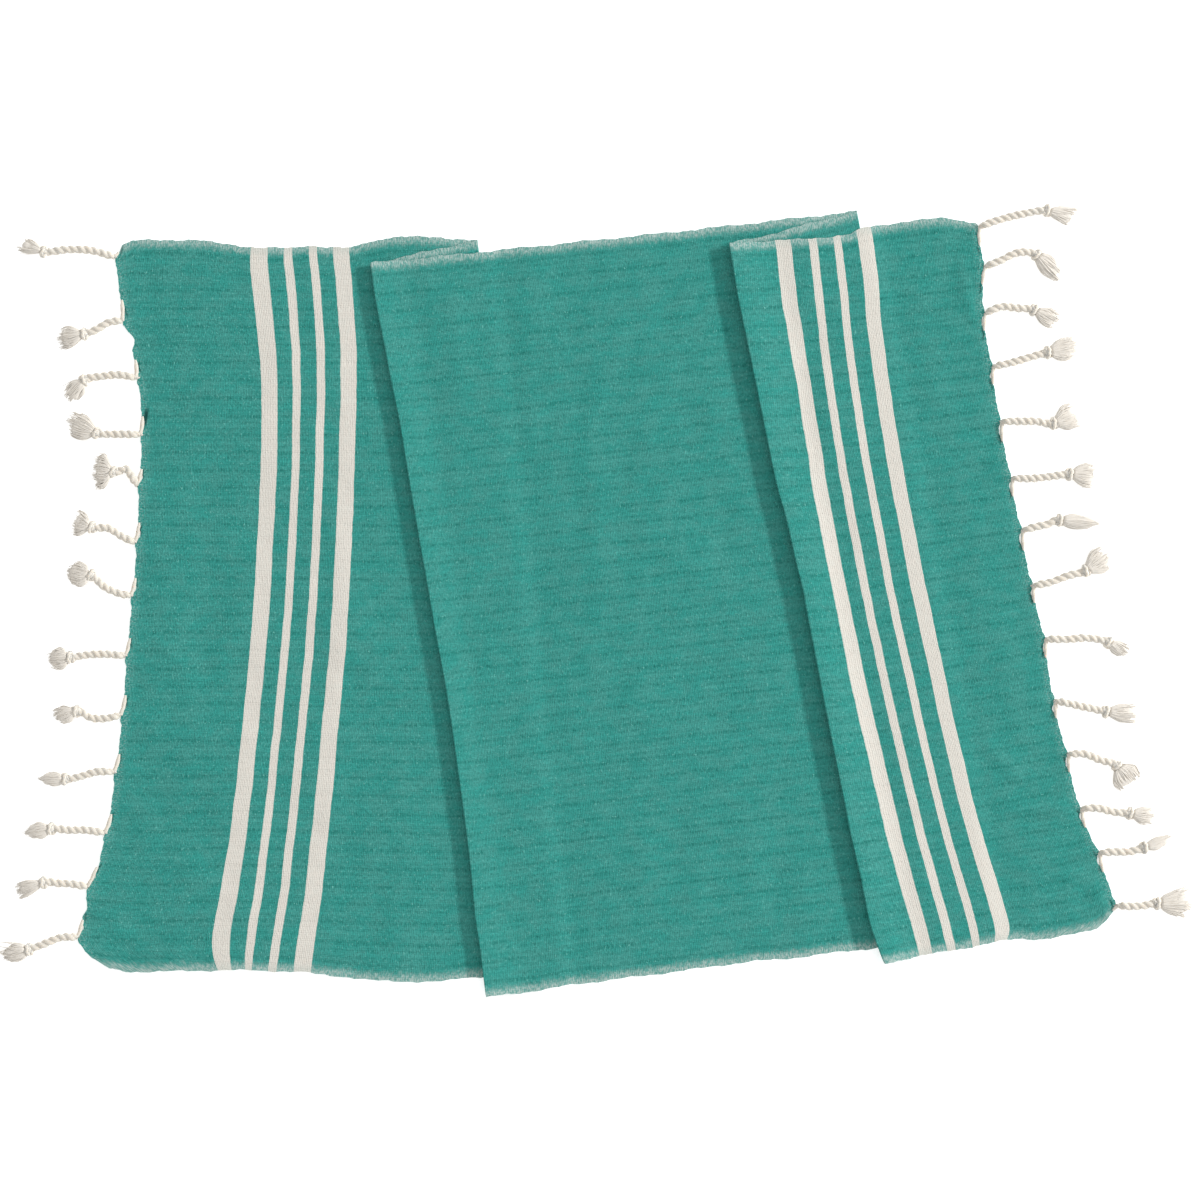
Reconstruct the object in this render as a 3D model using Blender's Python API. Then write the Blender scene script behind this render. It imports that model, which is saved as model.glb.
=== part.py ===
"""Flat-woven striped cotton towel with knotted warp tassels, laid flat in two pleats.

The towel is one woven cloth. It lies on a surface in a Z fold, twice: each
pleat is a crease where the cloth turns back over itself and a second crease
where it turns forward again. The cloth is cut into panels at those creases,
and every panel is a thin plate that hinges about its crease. Each end hem
carries a row of tassels: a two-ply cord twisted from the cloth's own warp,
an overhand knot and a frayed brush.

Frame: metres, +Z up, +X along the laid length, origin at the centre of the
laid cloth on the surface that it lies on.
"""

import math

import bmesh
import bpy
from mathutils import Vector

# ------------------------------------------------------------ driving sizes
CLOTH_LENGTH = 1.720  # unfolded, hem to hem
CLOTH_WIDTH = 0.955  # selvedge to selvedge
CLOTH_T = 0.0012  # cloth thickness
GAP = 0.0003  # clearance between neighbouring solids
LAYER = CLOTH_T + GAP  # one layer to the next in a fold
LOFT = 0.0035  # how far an upper crease stands off the layer below it
LOFT_RUN = 0.034  # distance over which that loft dies away
DROP_RUN = 0.032  # distance over which an upper layer comes down past a fold
LAY_X = -0.6172  # where u = 0 of the unfolded cloth lies
LAY_Y = -0.0102  # where v = 0 lies

# Crease lines of the unfolded cloth: u at the back and at the front selvedge.
CREASES = (
    (0.4620, 0.5610),
    (0.6030, 0.6500),
    (1.2375, 1.3080),
    (1.4015, 1.4500),
)

# End hems, as they bow: (v, u) from front to back.
HEM_LEFT = (
    (-0.470, -0.008),
    (-0.465, -0.018),
    (-0.456, -0.033),
    (-0.444, -0.048),
    (-0.425, -0.057),
    (-0.360, -0.044),
    (-0.290, -0.022),
    (-0.211, -0.010),
    (-0.137, -0.001),
    (-0.060, 0.005),
    (0.018, 0.012),
    (0.087, 0.018),
    (0.161, 0.021),
    (0.227, 0.024),
    (0.301, 0.019),
    (0.375, 0.001),
    (0.458, -0.009),
    (0.474, -0.004),
)
HEM_RIGHT = (
    (-0.470, 1.736),
    (-0.460, 1.752),
    (-0.448, 1.759),
    (-0.377, 1.747),
    (-0.317, 1.733),
    (-0.244, 1.727),
    (-0.173, 1.721),
    (-0.092, 1.721),
    (-0.021, 1.716),
    (0.052, 1.713),
    (0.121, 1.710),
    (0.196, 1.708),
    (0.268, 1.708),
    (0.338, 1.708),
    (0.398, 1.717),
    (0.450, 1.718),
    (0.462, 1.715),
)

# Selvedges: (u, v) from the left hem to the right hem.
EDGE_BACK = (
    (-0.060, 0.470),
    (-0.004, 0.474),
    (0.015, 0.478),
    (0.230, 0.478),
    (0.462, 0.480),
    (0.603, 0.478),
    (0.900, 0.477),
    (1.238, 0.478),
    (1.402, 0.477),
    (1.486, 0.471),
    (1.560, 0.465),
    (1.642, 0.461),
    (1.720, 0.460),
)
EDGE_FRONT = (
    (-0.060, -0.462),
    (-0.018, -0.465),
    (0.010, -0.469),
    (0.152, -0.467),
    (0.309, -0.471),
    (0.468, -0.475),
    (0.561, -0.479),
    (0.650, -0.479),
    (0.900, -0.476),
    (1.171, -0.474),
    (1.308, -0.473),
    (1.450, -0.476),
    (1.536, -0.474),
    (1.628, -0.471),
    (1.721, -0.468),
    (1.760, -0.458),
)

# Tassels
CORD_R = 0.0047  # twisted cord, radius over both plies
ROOT_R = 0.0016  # where the warp bundle leaves the hem
ROOT_Z = 0.0036  # height of that bundle's centre
ROOT_RUN = 0.011  # length over which it grows to the full cord
KNOT_R = 0.0068  # overhand knot
BRUSH_RZ = 0.0058  # half thickness of the frayed brush
TASSEL_CLEAR = 0.0005  # hem to the tassel's end
SIDES = 8

# Lay of each tassel, millimetres and degrees: v of its root on the hem; the
# knot's reach away from the hem and its drift towards the back; how far the
# cord bows to the left of its own run at one third and two thirds; the brush's
# heading from straight out (positive towards the back), length and width.
TASSELS_LEFT = (
    (458, 92, 7, -6, -5, 18, 35, 16),
    (375, 50, -17, -4, 0, -13, 36, 26),
    (301, 67, -3, -5, -4, -47, 35, 22),
    (227, 57, 3, 0, 1, 30, 41, 27),
    (161, 32, 18, -6, -11, 49, 24, 27),
    (87, 57, 20, -2, -6, 20, 26, 29),
    (18, 52, 27, 5, 5, 5, 27, 26),
    (-60, 72, -2, -3, -3, -5, 27, 26),
    (-137, 58, 6, 6, 7, -19, 30, 22),
    (-211, 63, -9, -4, -1, 1, 33, 17),
    (-290, 70, 6, -2, 0, -10, 33, 20),
    (-360, 58, 6, -2, -1, -19, 39, 18),
    (-425, 64, -16, -5, -2, -14, 33, 22),
)
TASSELS_RIGHT = (
    (450, 88, 21, 3, 3, -13, 39, 20),
    (398, 67, 15, 3, 8, -37, 49, 21),
    (338, 64, 4, 7, 4, -29, 36, 22),
    (268, 71, 18, -1, 0, 11, 38, 25),
    (196, 67, -3, 1, 2, 22, 35, 31),
    (121, 75, 5, -2, -1, -3, 36, 29),
    (52, 48, 13, 0, -1, -5, 50, 18),
    (-21, 67, 19, -2, 0, 34, 38, 30),
    (-92, 81, -4, 1, 4, -32, 29, 18),
    (-173, 66, -14, 0, 0, -5, 42, 22),
    (-244, 63, -15, 5, 2, -55, 31, 31),
    (-317, 63, -6, 3, 0, -8, 35, 20),
    (-377, 59, 7, -1, -3, 19, 38, 16),
    (-448, 53, 3, -2, -2, 1, 46, 39),
)

# Colours: weft-faced teal cloth, undyed cream tassels.
TEAL = (0.048, 0.287, 0.250, 1.0)
CREAM = (0.720, 0.680, 0.610, 1.0)


# ---------------------------------------------------------------- functions
def through(points, x):
    """Smooth curve through (x, y) points, as a cubic with averaged slopes."""
    if x <= points[0][0]:
        return points[0][1]
    if x >= points[-1][0]:
        return points[-1][1]
    n = len(points)
    i = max(k for k in range(n - 1) if points[k][0] <= x)

    def slope(k):
        a, b = max(k - 1, 0), min(k + 1, n - 1)
        return (points[b][1] - points[a][1]) / (points[b][0] - points[a][0])

    (x0, y0), (x1, y1) = points[i], points[i + 1]
    h = x1 - x0
    t = (x - x0) / h
    return (
        y0 * (1 + 2 * t) * (1 - t) ** 2
        + slope(i) * h * t * (1 - t) ** 2
        + y1 * t * t * (3 - 2 * t)
        + slope(i + 1) * h * t * t * (t - 1)
    )


def crease_u(k, v):
    """u of crease k at v."""
    back, front = CREASES[k]
    return front + (back - front) * (v + CLOTH_WIDTH / 2) / CLOTH_WIDTH


def mirrored(p, k):
    """A point of the unfolded cloth mirrored in crease k."""
    a = Vector((crease_u(k, -0.5), -0.5))
    d = (Vector((crease_u(k, 0.5), 0.5)) - a).normalized()
    w = Vector(p) - a
    return a + 2 * w.dot(d) * d - w


def lay(u, v, panel):
    """Plan position of a point of the cloth once its panel is folded over."""
    p = Vector((u, v))
    for k in range(panel - 1, -1, -1):
        p = mirrored(p, k)
    return Vector((p.x + LAY_X, p.y + LAY_Y))


def unlay(xy, panel):
    """The point of the unfolded cloth that lies at a plan position."""
    p = Vector((xy[0] - LAY_X, xy[1] - LAY_Y))
    for k in range(panel):
        p = mirrored(p, k)
    return p


def fold_line(k):
    """Front and back ends of fold k in plan, and its unit vector to the right."""
    front = lay(crease_u(k, -CLOTH_WIDTH / 2), -CLOTH_WIDTH / 2, k)
    back = lay(crease_u(k, CLOTH_WIDTH / 2), CLOTH_WIDTH / 2, k)
    d = (back - front).normalized()
    return front, back, Vector((d.y, -d.x))


def beside_fold(k, offset, panel):
    """u as a function of v for the line beside fold k, offset to the right, as
    it runs across an upper or lower panel."""
    front, back, right = fold_line(k)
    a = unlay(front + right * offset, panel)
    b = unlay(back + right * offset, panel)
    return lambda v: a.x + (b.x - a.x) * (v - a.y) / (b.y - a.y)


def cloth_point(station, t):
    """Where a station line crosses row t, 0 at the front selvedge, 1 at the back."""
    v = (t - 0.5) * CLOTH_WIDTH
    for _ in range(6):
        u = station(v)
        lo, hi = through(EDGE_FRONT, u), through(EDGE_BACK, u)
        v = lo + t * (hi - lo)
    return u, v


def row_of(hem, v):
    """The row that meets the hem at v."""
    u = through(hem, v)
    lo, hi = through(EDGE_FRONT, u), through(EDGE_BACK, u)
    return min(1.0, max(0.0, (v - lo) / (hi - lo)))


def material(name, colour, roughness):
    mat = bpy.data.materials.new(name)
    mat.use_nodes = True
    shader = mat.node_tree.nodes["Principled BSDF"]
    shader.inputs["Base Color"].default_value = colour
    shader.inputs["Roughness"].default_value = roughness
    shader.inputs["Metallic"].default_value = 0.0
    return mat


def finish(name, bm, origin, parent, mat, smooth):
    """Turns a bmesh in world coordinates into an object with its own origin."""
    bmesh.ops.recalc_face_normals(bm, faces=bm.faces)
    bmesh.ops.translate(bm, verts=bm.verts, vec=-origin)
    mesh = bpy.data.meshes.new(name)
    bm.to_mesh(mesh)
    bm.free()
    mesh.materials.append(mat)
    if smooth:
        mesh.shade_smooth()
        mesh.set_sharp_from_angle(angle=math.radians(50))
    obj = bpy.data.objects.new(name, mesh)
    bpy.context.scene.collection.objects.link(obj)
    obj.location = origin
    if parent is not None:
        obj.parent = parent
        obj.location = origin - parent.matrix_world.translation
    bpy.context.view_layer.update()
    return obj


def panel(name, k, stations, rows, origin, parent, mat):
    """One panel of cloth: a skin over its stations, thickened upwards."""
    bm = bmesh.new()
    grid = []
    for line, z in stations:
        column = []
        for t in rows:
            u, v = cloth_point(line, t)
            x, y = lay(u, v, k)
            column.append(bm.verts.new((x, y, z)))
        grid.append(column)
    for a, b in zip(grid, grid[1:]):
        for j in range(len(rows) - 1):
            bm.faces.new((a[j], b[j], b[j + 1], a[j + 1]))
    bmesh.ops.recalc_face_normals(bm, faces=bm.faces)
    if sum(f.normal.z for f in bm.faces) < 0:
        bmesh.ops.reverse_faces(bm, faces=bm.faces)
    bmesh.ops.translate(bm, verts=bm.verts, vec=-origin)
    mesh = bpy.data.meshes.new(name)
    bm.to_mesh(mesh)
    bm.free()
    mesh.materials.append(mat)
    obj = bpy.data.objects.new(name, mesh)
    bpy.context.scene.collection.objects.link(obj)
    thick = obj.modifiers.new("cloth_thickness", "SOLIDIFY")
    thick.thickness = CLOTH_T
    thick.offset = 1.0
    thick.use_even_offset = True
    obj.location = origin
    if parent is not None:
        obj.parent = parent
        obj.location = origin - parent.matrix_world.translation
    bpy.context.view_layer.update()
    return obj


def fold_axis(k, z):
    """Middle of fold k at height z, and the fold's direction front to back."""
    front, back, _ = fold_line(k)
    mid = (front + back) / 2
    d = (back - front).normalized()
    return Vector((mid.x, mid.y, z)), Vector((d.x, d.y, 0.0))


def hem_frame(hem, v, end_panel):
    """Root of a tassel on its hem in plan, the hem's direction towards the back,
    and the way out of the cloth."""
    e = 0.004
    here = lay(through(hem, v), v, end_panel)
    a = lay(through(hem, v - e), v - e, end_panel)
    b = lay(through(hem, v + e), v + e, end_panel)
    along = (b - a).normalized()
    if along.y < 0:
        along = -along
    side = -1.0 if end_panel == 0 else 1.0
    out = Vector((along.y, -along.x)) * side
    return here, along, out


def tassel_frame(row, hem, end_panel):
    """Centreline data of a tassel: its points from root to brush tip in plan,
    its root, the hem's direction and its hinge centre."""
    v, reach, drift, bow1, bow2, heading, length, width = row
    side = -1.0 if end_panel == 0 else 1.0
    here, along, out = hem_frame(hem, v / 1000.0, end_panel)
    chord = Vector((side * reach, drift)) / 1000.0
    left = Vector((-chord.y, chord.x)).normalized()
    first = chord / 3 + left * bow1 / 1000.0
    start_dir = first.normalized()
    lean = math.sqrt(max(0.0, 1.0 - start_dir.dot(out) ** 2))
    root = here + out * (TASSEL_CLEAR + ROOT_R * lean)
    knot = here + chord
    a = math.radians(heading)
    brush = Vector((side * math.cos(a), math.sin(a)))
    tip = knot + brush * length / 1000.0
    points = [
        root,
        here + first,
        here + chord * 2 / 3 + left * bow2 / 1000.0,
        knot,
        tip,
    ]
    return points, root, along, width / 1000.0


def catmull(points, i, t):
    """Point between points i and i + 1 of a smooth open curve."""
    p1, p2 = points[i], points[i + 1]
    p0 = points[i - 1] if i > 0 else p1 * 2 - p2
    p3 = points[i + 2] if i + 2 < len(points) else p2 * 2 - p1
    return 0.5 * (
        p1 * 2
        + (p2 - p0) * t
        + (p0 * 2 - p1 * 5 + p2 * 4 - p3) * t * t
        + (p1 * 3 - p0 - p2 * 3 + p3) * t * t * t
    )


def tassel(name, row, hem, end_panel, parent, mat):
    """Cord, knot and brush as one closed solid, lofted through flat ovals that
    all rest on the surface."""
    points, root, along, width = tassel_frame(row, hem, end_panel)
    plan = []  # (plan point, half width, half height)
    for i in range(3):
        for t in (0.0, 0.34, 0.67):
            plan.append([catmull(points, i, t), CORD_R, CORD_R])
    plan = plan[:-1]
    first = (plan[1][0] - plan[0][0]).length
    grown = min(1.0, first / ROOT_RUN)
    plan[0][1:] = [ROOT_R, ROOT_R]
    plan[1][1:] = [ROOT_R + (CORD_R - ROOT_R) * grown] * 2
    knot, tip = points[3], points[4]
    brush = (tip - knot).normalized()
    inward = (plan[-1][0] - knot).normalized()
    plan.append([knot + inward * KNOT_R * 1.15, CORD_R * 1.05, CORD_R * 1.05])
    plan.append([knot + inward * KNOT_R * 0.45, KNOT_R, KNOT_R * 0.95])
    plan.append([knot + brush * KNOT_R * 0.45, KNOT_R, KNOT_R * 0.95])
    run = (tip - knot).length
    plan.append([knot + brush * KNOT_R * 1.25, CORD_R * 1.1, CORD_R])
    plan.append([knot + brush * (KNOT_R + (run - KNOT_R) * 0.45), width * 0.46, BRUSH_RZ])
    plan.append([knot + brush * (run * 0.86), width * 0.5, BRUSH_RZ * 0.85])
    plan.append([tip, width * 0.38, BRUSH_RZ * 0.5])

    bm = bmesh.new()
    rings = []
    for i, (c, rh, rz) in enumerate(plan):
        a = plan[max(i - 1, 0)][0]
        b = plan[min(i + 1, len(plan) - 1)][0]
        d = (b - a).normalized()
        across = Vector((-d.y, d.x))
        z = rz + 0.0002
        if i == 0:
            z = ROOT_Z
        ring = []
        for j in range(SIDES):
            q = 2 * math.pi * (j + 0.5) / SIDES
            k = 1.0 / math.cos(math.pi / SIDES)
            ring.append(
                bm.verts.new(
                    (
                        c.x + across.x * rh * k * math.cos(q),
                        c.y + across.y * rh * k * math.cos(q),
                        z + rz * k * math.sin(q) * math.cos(math.pi / SIDES),
                    )
                )
            )
        rings.append(ring)
    for a, b in zip(rings, rings[1:]):
        for j in range(SIDES):
            n = (j + 1) % SIDES
            bm.faces.new((a[j], a[n], b[n], b[j]))
    bm.faces.new(list(reversed(rings[0])))
    bm.faces.new(rings[-1])
    origin = Vector((root.x, root.y, ROOT_Z))
    return finish(name, bm, origin, parent, mat, True)


# -------------------------------------------------------------------- build
def build():
    for obj in list(bpy.data.objects):
        bpy.data.objects.remove(obj, do_unlink=True)

    def hem_left(v):
        return through(HEM_LEFT, v)

    def hem_right(v):
        return through(HEM_RIGHT, v)

    z_low, z_mid, z_top = 0.0, LAYER, 2 * LAYER
    z_edge = z_top + LOFT

    # Left end panel: flat on the surface, from the left hem to the first fold.
    crease = beside_fold(0, -GAP, 0)

    def between(s):
        return lambda v: (1 - s) * hem_left(v) + s * crease(v)

    rows = sorted(
        {0.0, 1.0}
        | {row_of(HEM_LEFT, v) for v in (-0.456, -0.444)}
        | {row_of(HEM_LEFT, r[0] / 1000.0) for r in TASSELS_LEFT}
    )
    left_end = panel(
        "left_end_panel",
        0,
        [(between(s), z_low) for s in (0.0, 0.1, 0.5, 1.0)],
        rows,
        Vector((0, 0, 0)),
        None,
        material("left_end_panel_weave", TEAL, 0.9),
    )

    # First pleat: the cloth turns back at fold 1 and forward again at fold 2.
    few = [i / 6 for i in range(7)]
    hinge_1, _ = fold_axis(0, CLOTH_T + GAP / 2)
    left_return = panel(
        "left_pleat_return",
        1,
        [(beside_fold(0, -GAP, 1), z_mid), (beside_fold(1, GAP, 1), z_mid)],
        few,
        hinge_1,
        left_end,
        material("left_pleat_return_weave", TEAL, 0.9),
    )

    # An upper panel starts lofted at its crease, lies on the return, comes down
    # past the lower fold and carries on along the surface.
    def upper(k, low, top):
        lines = []
        for s in (0.0, 0.3, 0.65, 1.0):
            ease = (1 - s) ** 2 * (1 + 2 * s)
            lines.append((beside_fold(top, GAP + s * LOFT_RUN, k), z_top + LOFT * ease))
        for s in (0.0, 0.28, 0.55, 0.8, 1.0):
            ease = (1 - s) ** 2 * (1 + 2 * s)
            lines.append((beside_fold(low, 0.001 + s * DROP_RUN, k), z_top * ease))
        return lines

    z_axis = (z_mid + CLOTH_T / 2 + z_edge + CLOTH_T / 2) / 2
    hinge_2, _ = fold_axis(1, z_axis)
    middle = panel(
        "middle_panel",
        2,
        upper(2, 0, 1) + [(beside_fold(2, -GAP, 2), z_low)],
        few,
        hinge_2,
        left_return,
        material("middle_panel_weave", TEAL, 0.9),
    )

    # Second pleat, the same way.
    hinge_3, _ = fold_axis(2, CLOTH_T + GAP / 2)
    right_return = panel(
        "right_pleat_return",
        3,
        [(beside_fold(2, -GAP, 3), z_mid), (beside_fold(3, GAP, 3), z_mid)],
        few,
        hinge_3,
        middle,
        material("right_pleat_return_weave", TEAL, 0.9),
    )
    hinge_4, _ = fold_axis(3, z_axis)
    rows = sorted(
        {0.0, 1.0}
        | {row_of(HEM_RIGHT, -0.460)}
        | {row_of(HEM_RIGHT, r[0] / 1000.0) for r in TASSELS_RIGHT}
    )
    right_end = panel(
        "right_end_panel",
        4,
        upper(4, 2, 3) + [(hem_right, z_low)],
        rows,
        hinge_4,
        right_return,
        material("right_end_panel_weave", TEAL, 0.9),
    )

    # Tassels, numbered from the back of each hem to the front.
    for i, row in enumerate(TASSELS_LEFT):
        name = "tassel_left_%02d" % (i + 1)
        tassel(name, row, HEM_LEFT, 0, left_end, material(name + "_yarn", CREAM, 0.85))
    for i, row in enumerate(TASSELS_RIGHT):
        name = "tassel_right_%02d" % (i + 1)
        tassel(name, row, HEM_RIGHT, 4, right_end, material(name + "_yarn", CREAM, 0.85))


build()
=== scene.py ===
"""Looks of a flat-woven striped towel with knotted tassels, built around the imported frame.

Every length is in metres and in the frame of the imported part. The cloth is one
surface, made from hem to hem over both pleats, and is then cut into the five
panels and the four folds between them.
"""

import math

import bpy
import numpy as np
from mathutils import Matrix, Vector


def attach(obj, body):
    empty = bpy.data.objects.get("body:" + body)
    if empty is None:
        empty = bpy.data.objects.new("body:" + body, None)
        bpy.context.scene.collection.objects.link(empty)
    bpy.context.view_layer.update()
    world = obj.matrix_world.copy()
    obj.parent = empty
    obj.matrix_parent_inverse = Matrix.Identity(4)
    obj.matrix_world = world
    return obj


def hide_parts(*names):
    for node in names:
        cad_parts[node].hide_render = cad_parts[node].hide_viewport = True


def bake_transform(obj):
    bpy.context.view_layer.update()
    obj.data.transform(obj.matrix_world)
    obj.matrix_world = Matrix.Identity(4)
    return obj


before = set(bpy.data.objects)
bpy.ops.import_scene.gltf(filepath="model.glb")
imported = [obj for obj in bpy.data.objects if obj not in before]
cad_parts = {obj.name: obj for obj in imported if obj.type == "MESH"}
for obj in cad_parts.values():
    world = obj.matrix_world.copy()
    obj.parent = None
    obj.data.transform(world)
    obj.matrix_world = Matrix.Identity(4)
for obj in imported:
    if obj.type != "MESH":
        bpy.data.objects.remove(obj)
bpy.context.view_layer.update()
scene = bpy.context.scene

# ------------------------------------------------- the lay, as the part has it
CLOTH_WIDTH = 0.955
LAY_X, LAY_Y = -0.6172, -0.0102
CREASES = ((0.4620, 0.5610), (0.6030, 0.6500), (1.2375, 1.3080), (1.4015, 1.4500))
HEM_LEFT = (
    (-0.470, -0.008), (-0.465, -0.018), (-0.456, -0.033), (-0.444, -0.048),
    (-0.425, -0.057), (-0.360, -0.044), (-0.290, -0.022), (-0.211, -0.010),
    (-0.137, -0.001), (-0.060, 0.005), (0.018, 0.012), (0.087, 0.018),
    (0.161, 0.021), (0.227, 0.024), (0.301, 0.019), (0.375, 0.001),
    (0.458, -0.009), (0.474, -0.004),
)
HEM_RIGHT = (
    (-0.470, 1.736), (-0.460, 1.752), (-0.448, 1.759), (-0.377, 1.747),
    (-0.317, 1.733), (-0.244, 1.727), (-0.173, 1.721), (-0.092, 1.721),
    (-0.021, 1.716), (0.052, 1.713), (0.121, 1.710), (0.196, 1.708),
    (0.268, 1.708), (0.338, 1.708), (0.398, 1.717), (0.450, 1.718),
    (0.462, 1.715),
)
EDGE_BACK = (
    (-0.060, 0.470), (-0.004, 0.474), (0.015, 0.478), (0.230, 0.478),
    (0.462, 0.480), (0.603, 0.478), (0.900, 0.477), (1.238, 0.478),
    (1.402, 0.477), (1.486, 0.471), (1.560, 0.465), (1.642, 0.461),
    (1.720, 0.460),
)
EDGE_FRONT = (
    (-0.060, -0.462), (-0.018, -0.465), (0.010, -0.469), (0.152, -0.467),
    (0.309, -0.471), (0.468, -0.475), (0.561, -0.479), (0.650, -0.479),
    (0.900, -0.476), (1.171, -0.474), (1.308, -0.473), (1.450, -0.476),
    (1.536, -0.474), (1.628, -0.471), (1.721, -0.468), (1.760, -0.458),
)
ROOT_R, ROOT_Z, TASSEL_CLEAR = 0.0016, 0.0036, 0.0005
TASSELS_LEFT = (
    (458, 92, 7, -6, -5, 18, 35, 16),
    (375, 50, -17, -4, 0, -13, 36, 26),
    (301, 67, -3, -5, -4, -47, 35, 22),
    (227, 57, 3, 0, 1, 30, 41, 27),
    (161, 32, 18, -6, -11, 49, 24, 27),
    (87, 57, 20, -2, -6, 20, 26, 29),
    (18, 52, 27, 5, 5, 5, 27, 26),
    (-60, 72, -2, -3, -3, -5, 27, 26),
    (-137, 58, 6, 6, 7, -19, 30, 22),
    (-211, 63, -9, -4, -1, 1, 33, 17),
    (-290, 70, 6, -2, 0, -10, 33, 20),
    (-360, 58, 6, -2, -1, -19, 39, 18),
    (-425, 64, -16, -5, -2, -14, 33, 22),
)
TASSELS_RIGHT = (
    (450, 88, 21, 3, 3, -13, 39, 20),
    (398, 67, 15, 3, 8, -37, 49, 21),
    (338, 64, 4, 7, 4, -29, 36, 22),
    (268, 71, 18, -1, 0, 11, 38, 25),
    (196, 67, -3, 1, 2, 22, 35, 31),
    (121, 75, 5, -2, -1, -3, 36, 29),
    (52, 48, 13, 0, -1, -5, 50, 18),
    (-21, 67, 19, -2, 0, 34, 38, 30),
    (-92, 81, -4, 1, 4, -32, 29, 18),
    (-173, 66, -14, 0, 0, -5, 42, 22),
    (-244, 63, -15, 5, 2, -55, 31, 31),
    (-317, 63, -6, 3, 0, -8, 35, 20),
    (-377, 59, 7, -1, -3, 19, 38, 16),
    (-448, 53, 3, -2, -2, 1, 46, 39),
)

# ------------------------------------------------------------- looks constants
T = 0.0010  # cloth
ROWS = 369  # points from selvedge to selvedge
LOW_SEAM = 0.0035  # where a panel meets a lower fold, beside the fold's edge
HIGH_SEAM = 0.0060  # the same at an upper fold
Z_FLAT, Z_RETURN, Z_OVER = 0.0006, 0.0021, 0.0036  # middles of the layers
CREST = {1: 0.0115, 3: 0.0145}  # middle of the cloth at the top of an upper fold
EDGE_R = 0.00095  # radius of an upper fold's edge, which stands clear of the layer below
LOFT_RUN, RISE_RUN = 0.054, 0.034
# The upper folds are not quite straight: how far right of the straight line they
# run, by their place along y.
BOW_2 = ((-0.510, -0.0020), (-0.445, 0.0000), (-0.413, 0.0000), (-0.351, 0.0039), (-0.289, 0.0065), (-0.226, 0.0078),
         (-0.164, 0.0091), (-0.101, 0.0091), (-0.039, 0.0074), (0.023, 0.0065), (0.117, 0.0048), (0.242, 0.0039),
         (0.273, 0.0020), (0.335, 0.0000), (0.367, -0.0013), (0.398, -0.0020), (0.440, -0.0010))
BOW_4 = ((-0.475, 0.0000), (-0.455, -0.0040), (-0.417, -0.0091), (-0.355, -0.0091), (-0.293, -0.0104), (-0.261, -0.0097),
         (-0.137, -0.0091), (-0.012, -0.0072), (0.019, -0.0065), (0.050, -0.0078), (0.113, -0.0091), (0.144, -0.0117),
         (0.175, -0.0123), (0.331, -0.0117), (0.393, -0.0117), (0.424, -0.0104), (0.470, -0.0085))
BOW_RUN = 0.056
# How the selvedges of the soft cloth stray from the part's smooth edges: (u, shift in v).
STRAY_BACK = (
    (-0.060, -0.0010), (0.003, -0.0010), (0.019, 0.0016), (0.097, 0.0016), (0.115, -0.0010), (0.144, -0.0040),
    (0.175, -0.0075), (0.222, -0.0075), (0.240, -0.0045), (0.268, -0.0075), (0.300, -0.0075), (0.315, -0.0015),
    (0.331, 0.0013), (0.346, 0.0045), (0.409, 0.0045), (0.432, 0.0020), (0.460, 0.0000), (0.800, 0.0010),
    (1.000, 0.0000), (1.300, 0.0000), (1.545, 0.0000), (1.575, 0.0085), (1.665, 0.0095), (1.680, 0.0080),
    (1.695, 0.0025), (1.712, -0.0030), (1.780, -0.0030),
)
STRAY_FRONT = (
    (-0.060, -0.0015), (0.225, -0.0018), (0.264, -0.0050), (0.288, -0.0065), (0.311, -0.0090), (0.330, -0.0105),
    (0.405, -0.0100), (0.421, -0.0090), (0.436, -0.0055), (0.455, -0.0030), (0.480, -0.0010), (0.560, 0.0000),
    (0.610, -0.0010), (0.650, -0.0045), (0.721, -0.0050), (0.755, -0.0035), (0.850, -0.0030), (0.930, -0.0020),
    (1.000, -0.0010), (1.030, -0.0025), (1.100, -0.0020), (1.171, -0.0020), (1.308, 0.0000), (1.400, 0.0000),
    (1.470, 0.0015), (1.560, 0.0010), (1.620, 0.0000), (1.650, -0.0050), (1.665, -0.0068), (1.730, -0.0060),
    (1.748, -0.0010), (1.790, 0.0000),
)
LENGTH = 1.720
# Weft lines: u of the middle of each stripe group by v, and its place along the cloth.
GROUP_LEFT = ((-0.467, 0.1767), (-0.355, 0.1943), (-0.164, 0.2151), (0.015, 0.2313), (0.316, 0.2417), (0.470, 0.2313))
GROUP_RIGHT = ((-0.470, 1.5572), (-0.267, 1.5352), (0.000, 1.5170), (0.252, 1.5110), (0.460, 1.5184))
AT_LEFT, AT_RIGHT = 0.2313, 1.5170
STRIPES_LEFT = ((-0.0640, -0.0410), (-0.0215, -0.0097), (0.0108, 0.0225), (0.0420, 0.0640))
STRIPES_RIGHT = ((-0.0628, -0.0420), (-0.0230, -0.0113), (0.0095, 0.0210), (0.0422, 0.0628))


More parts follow.
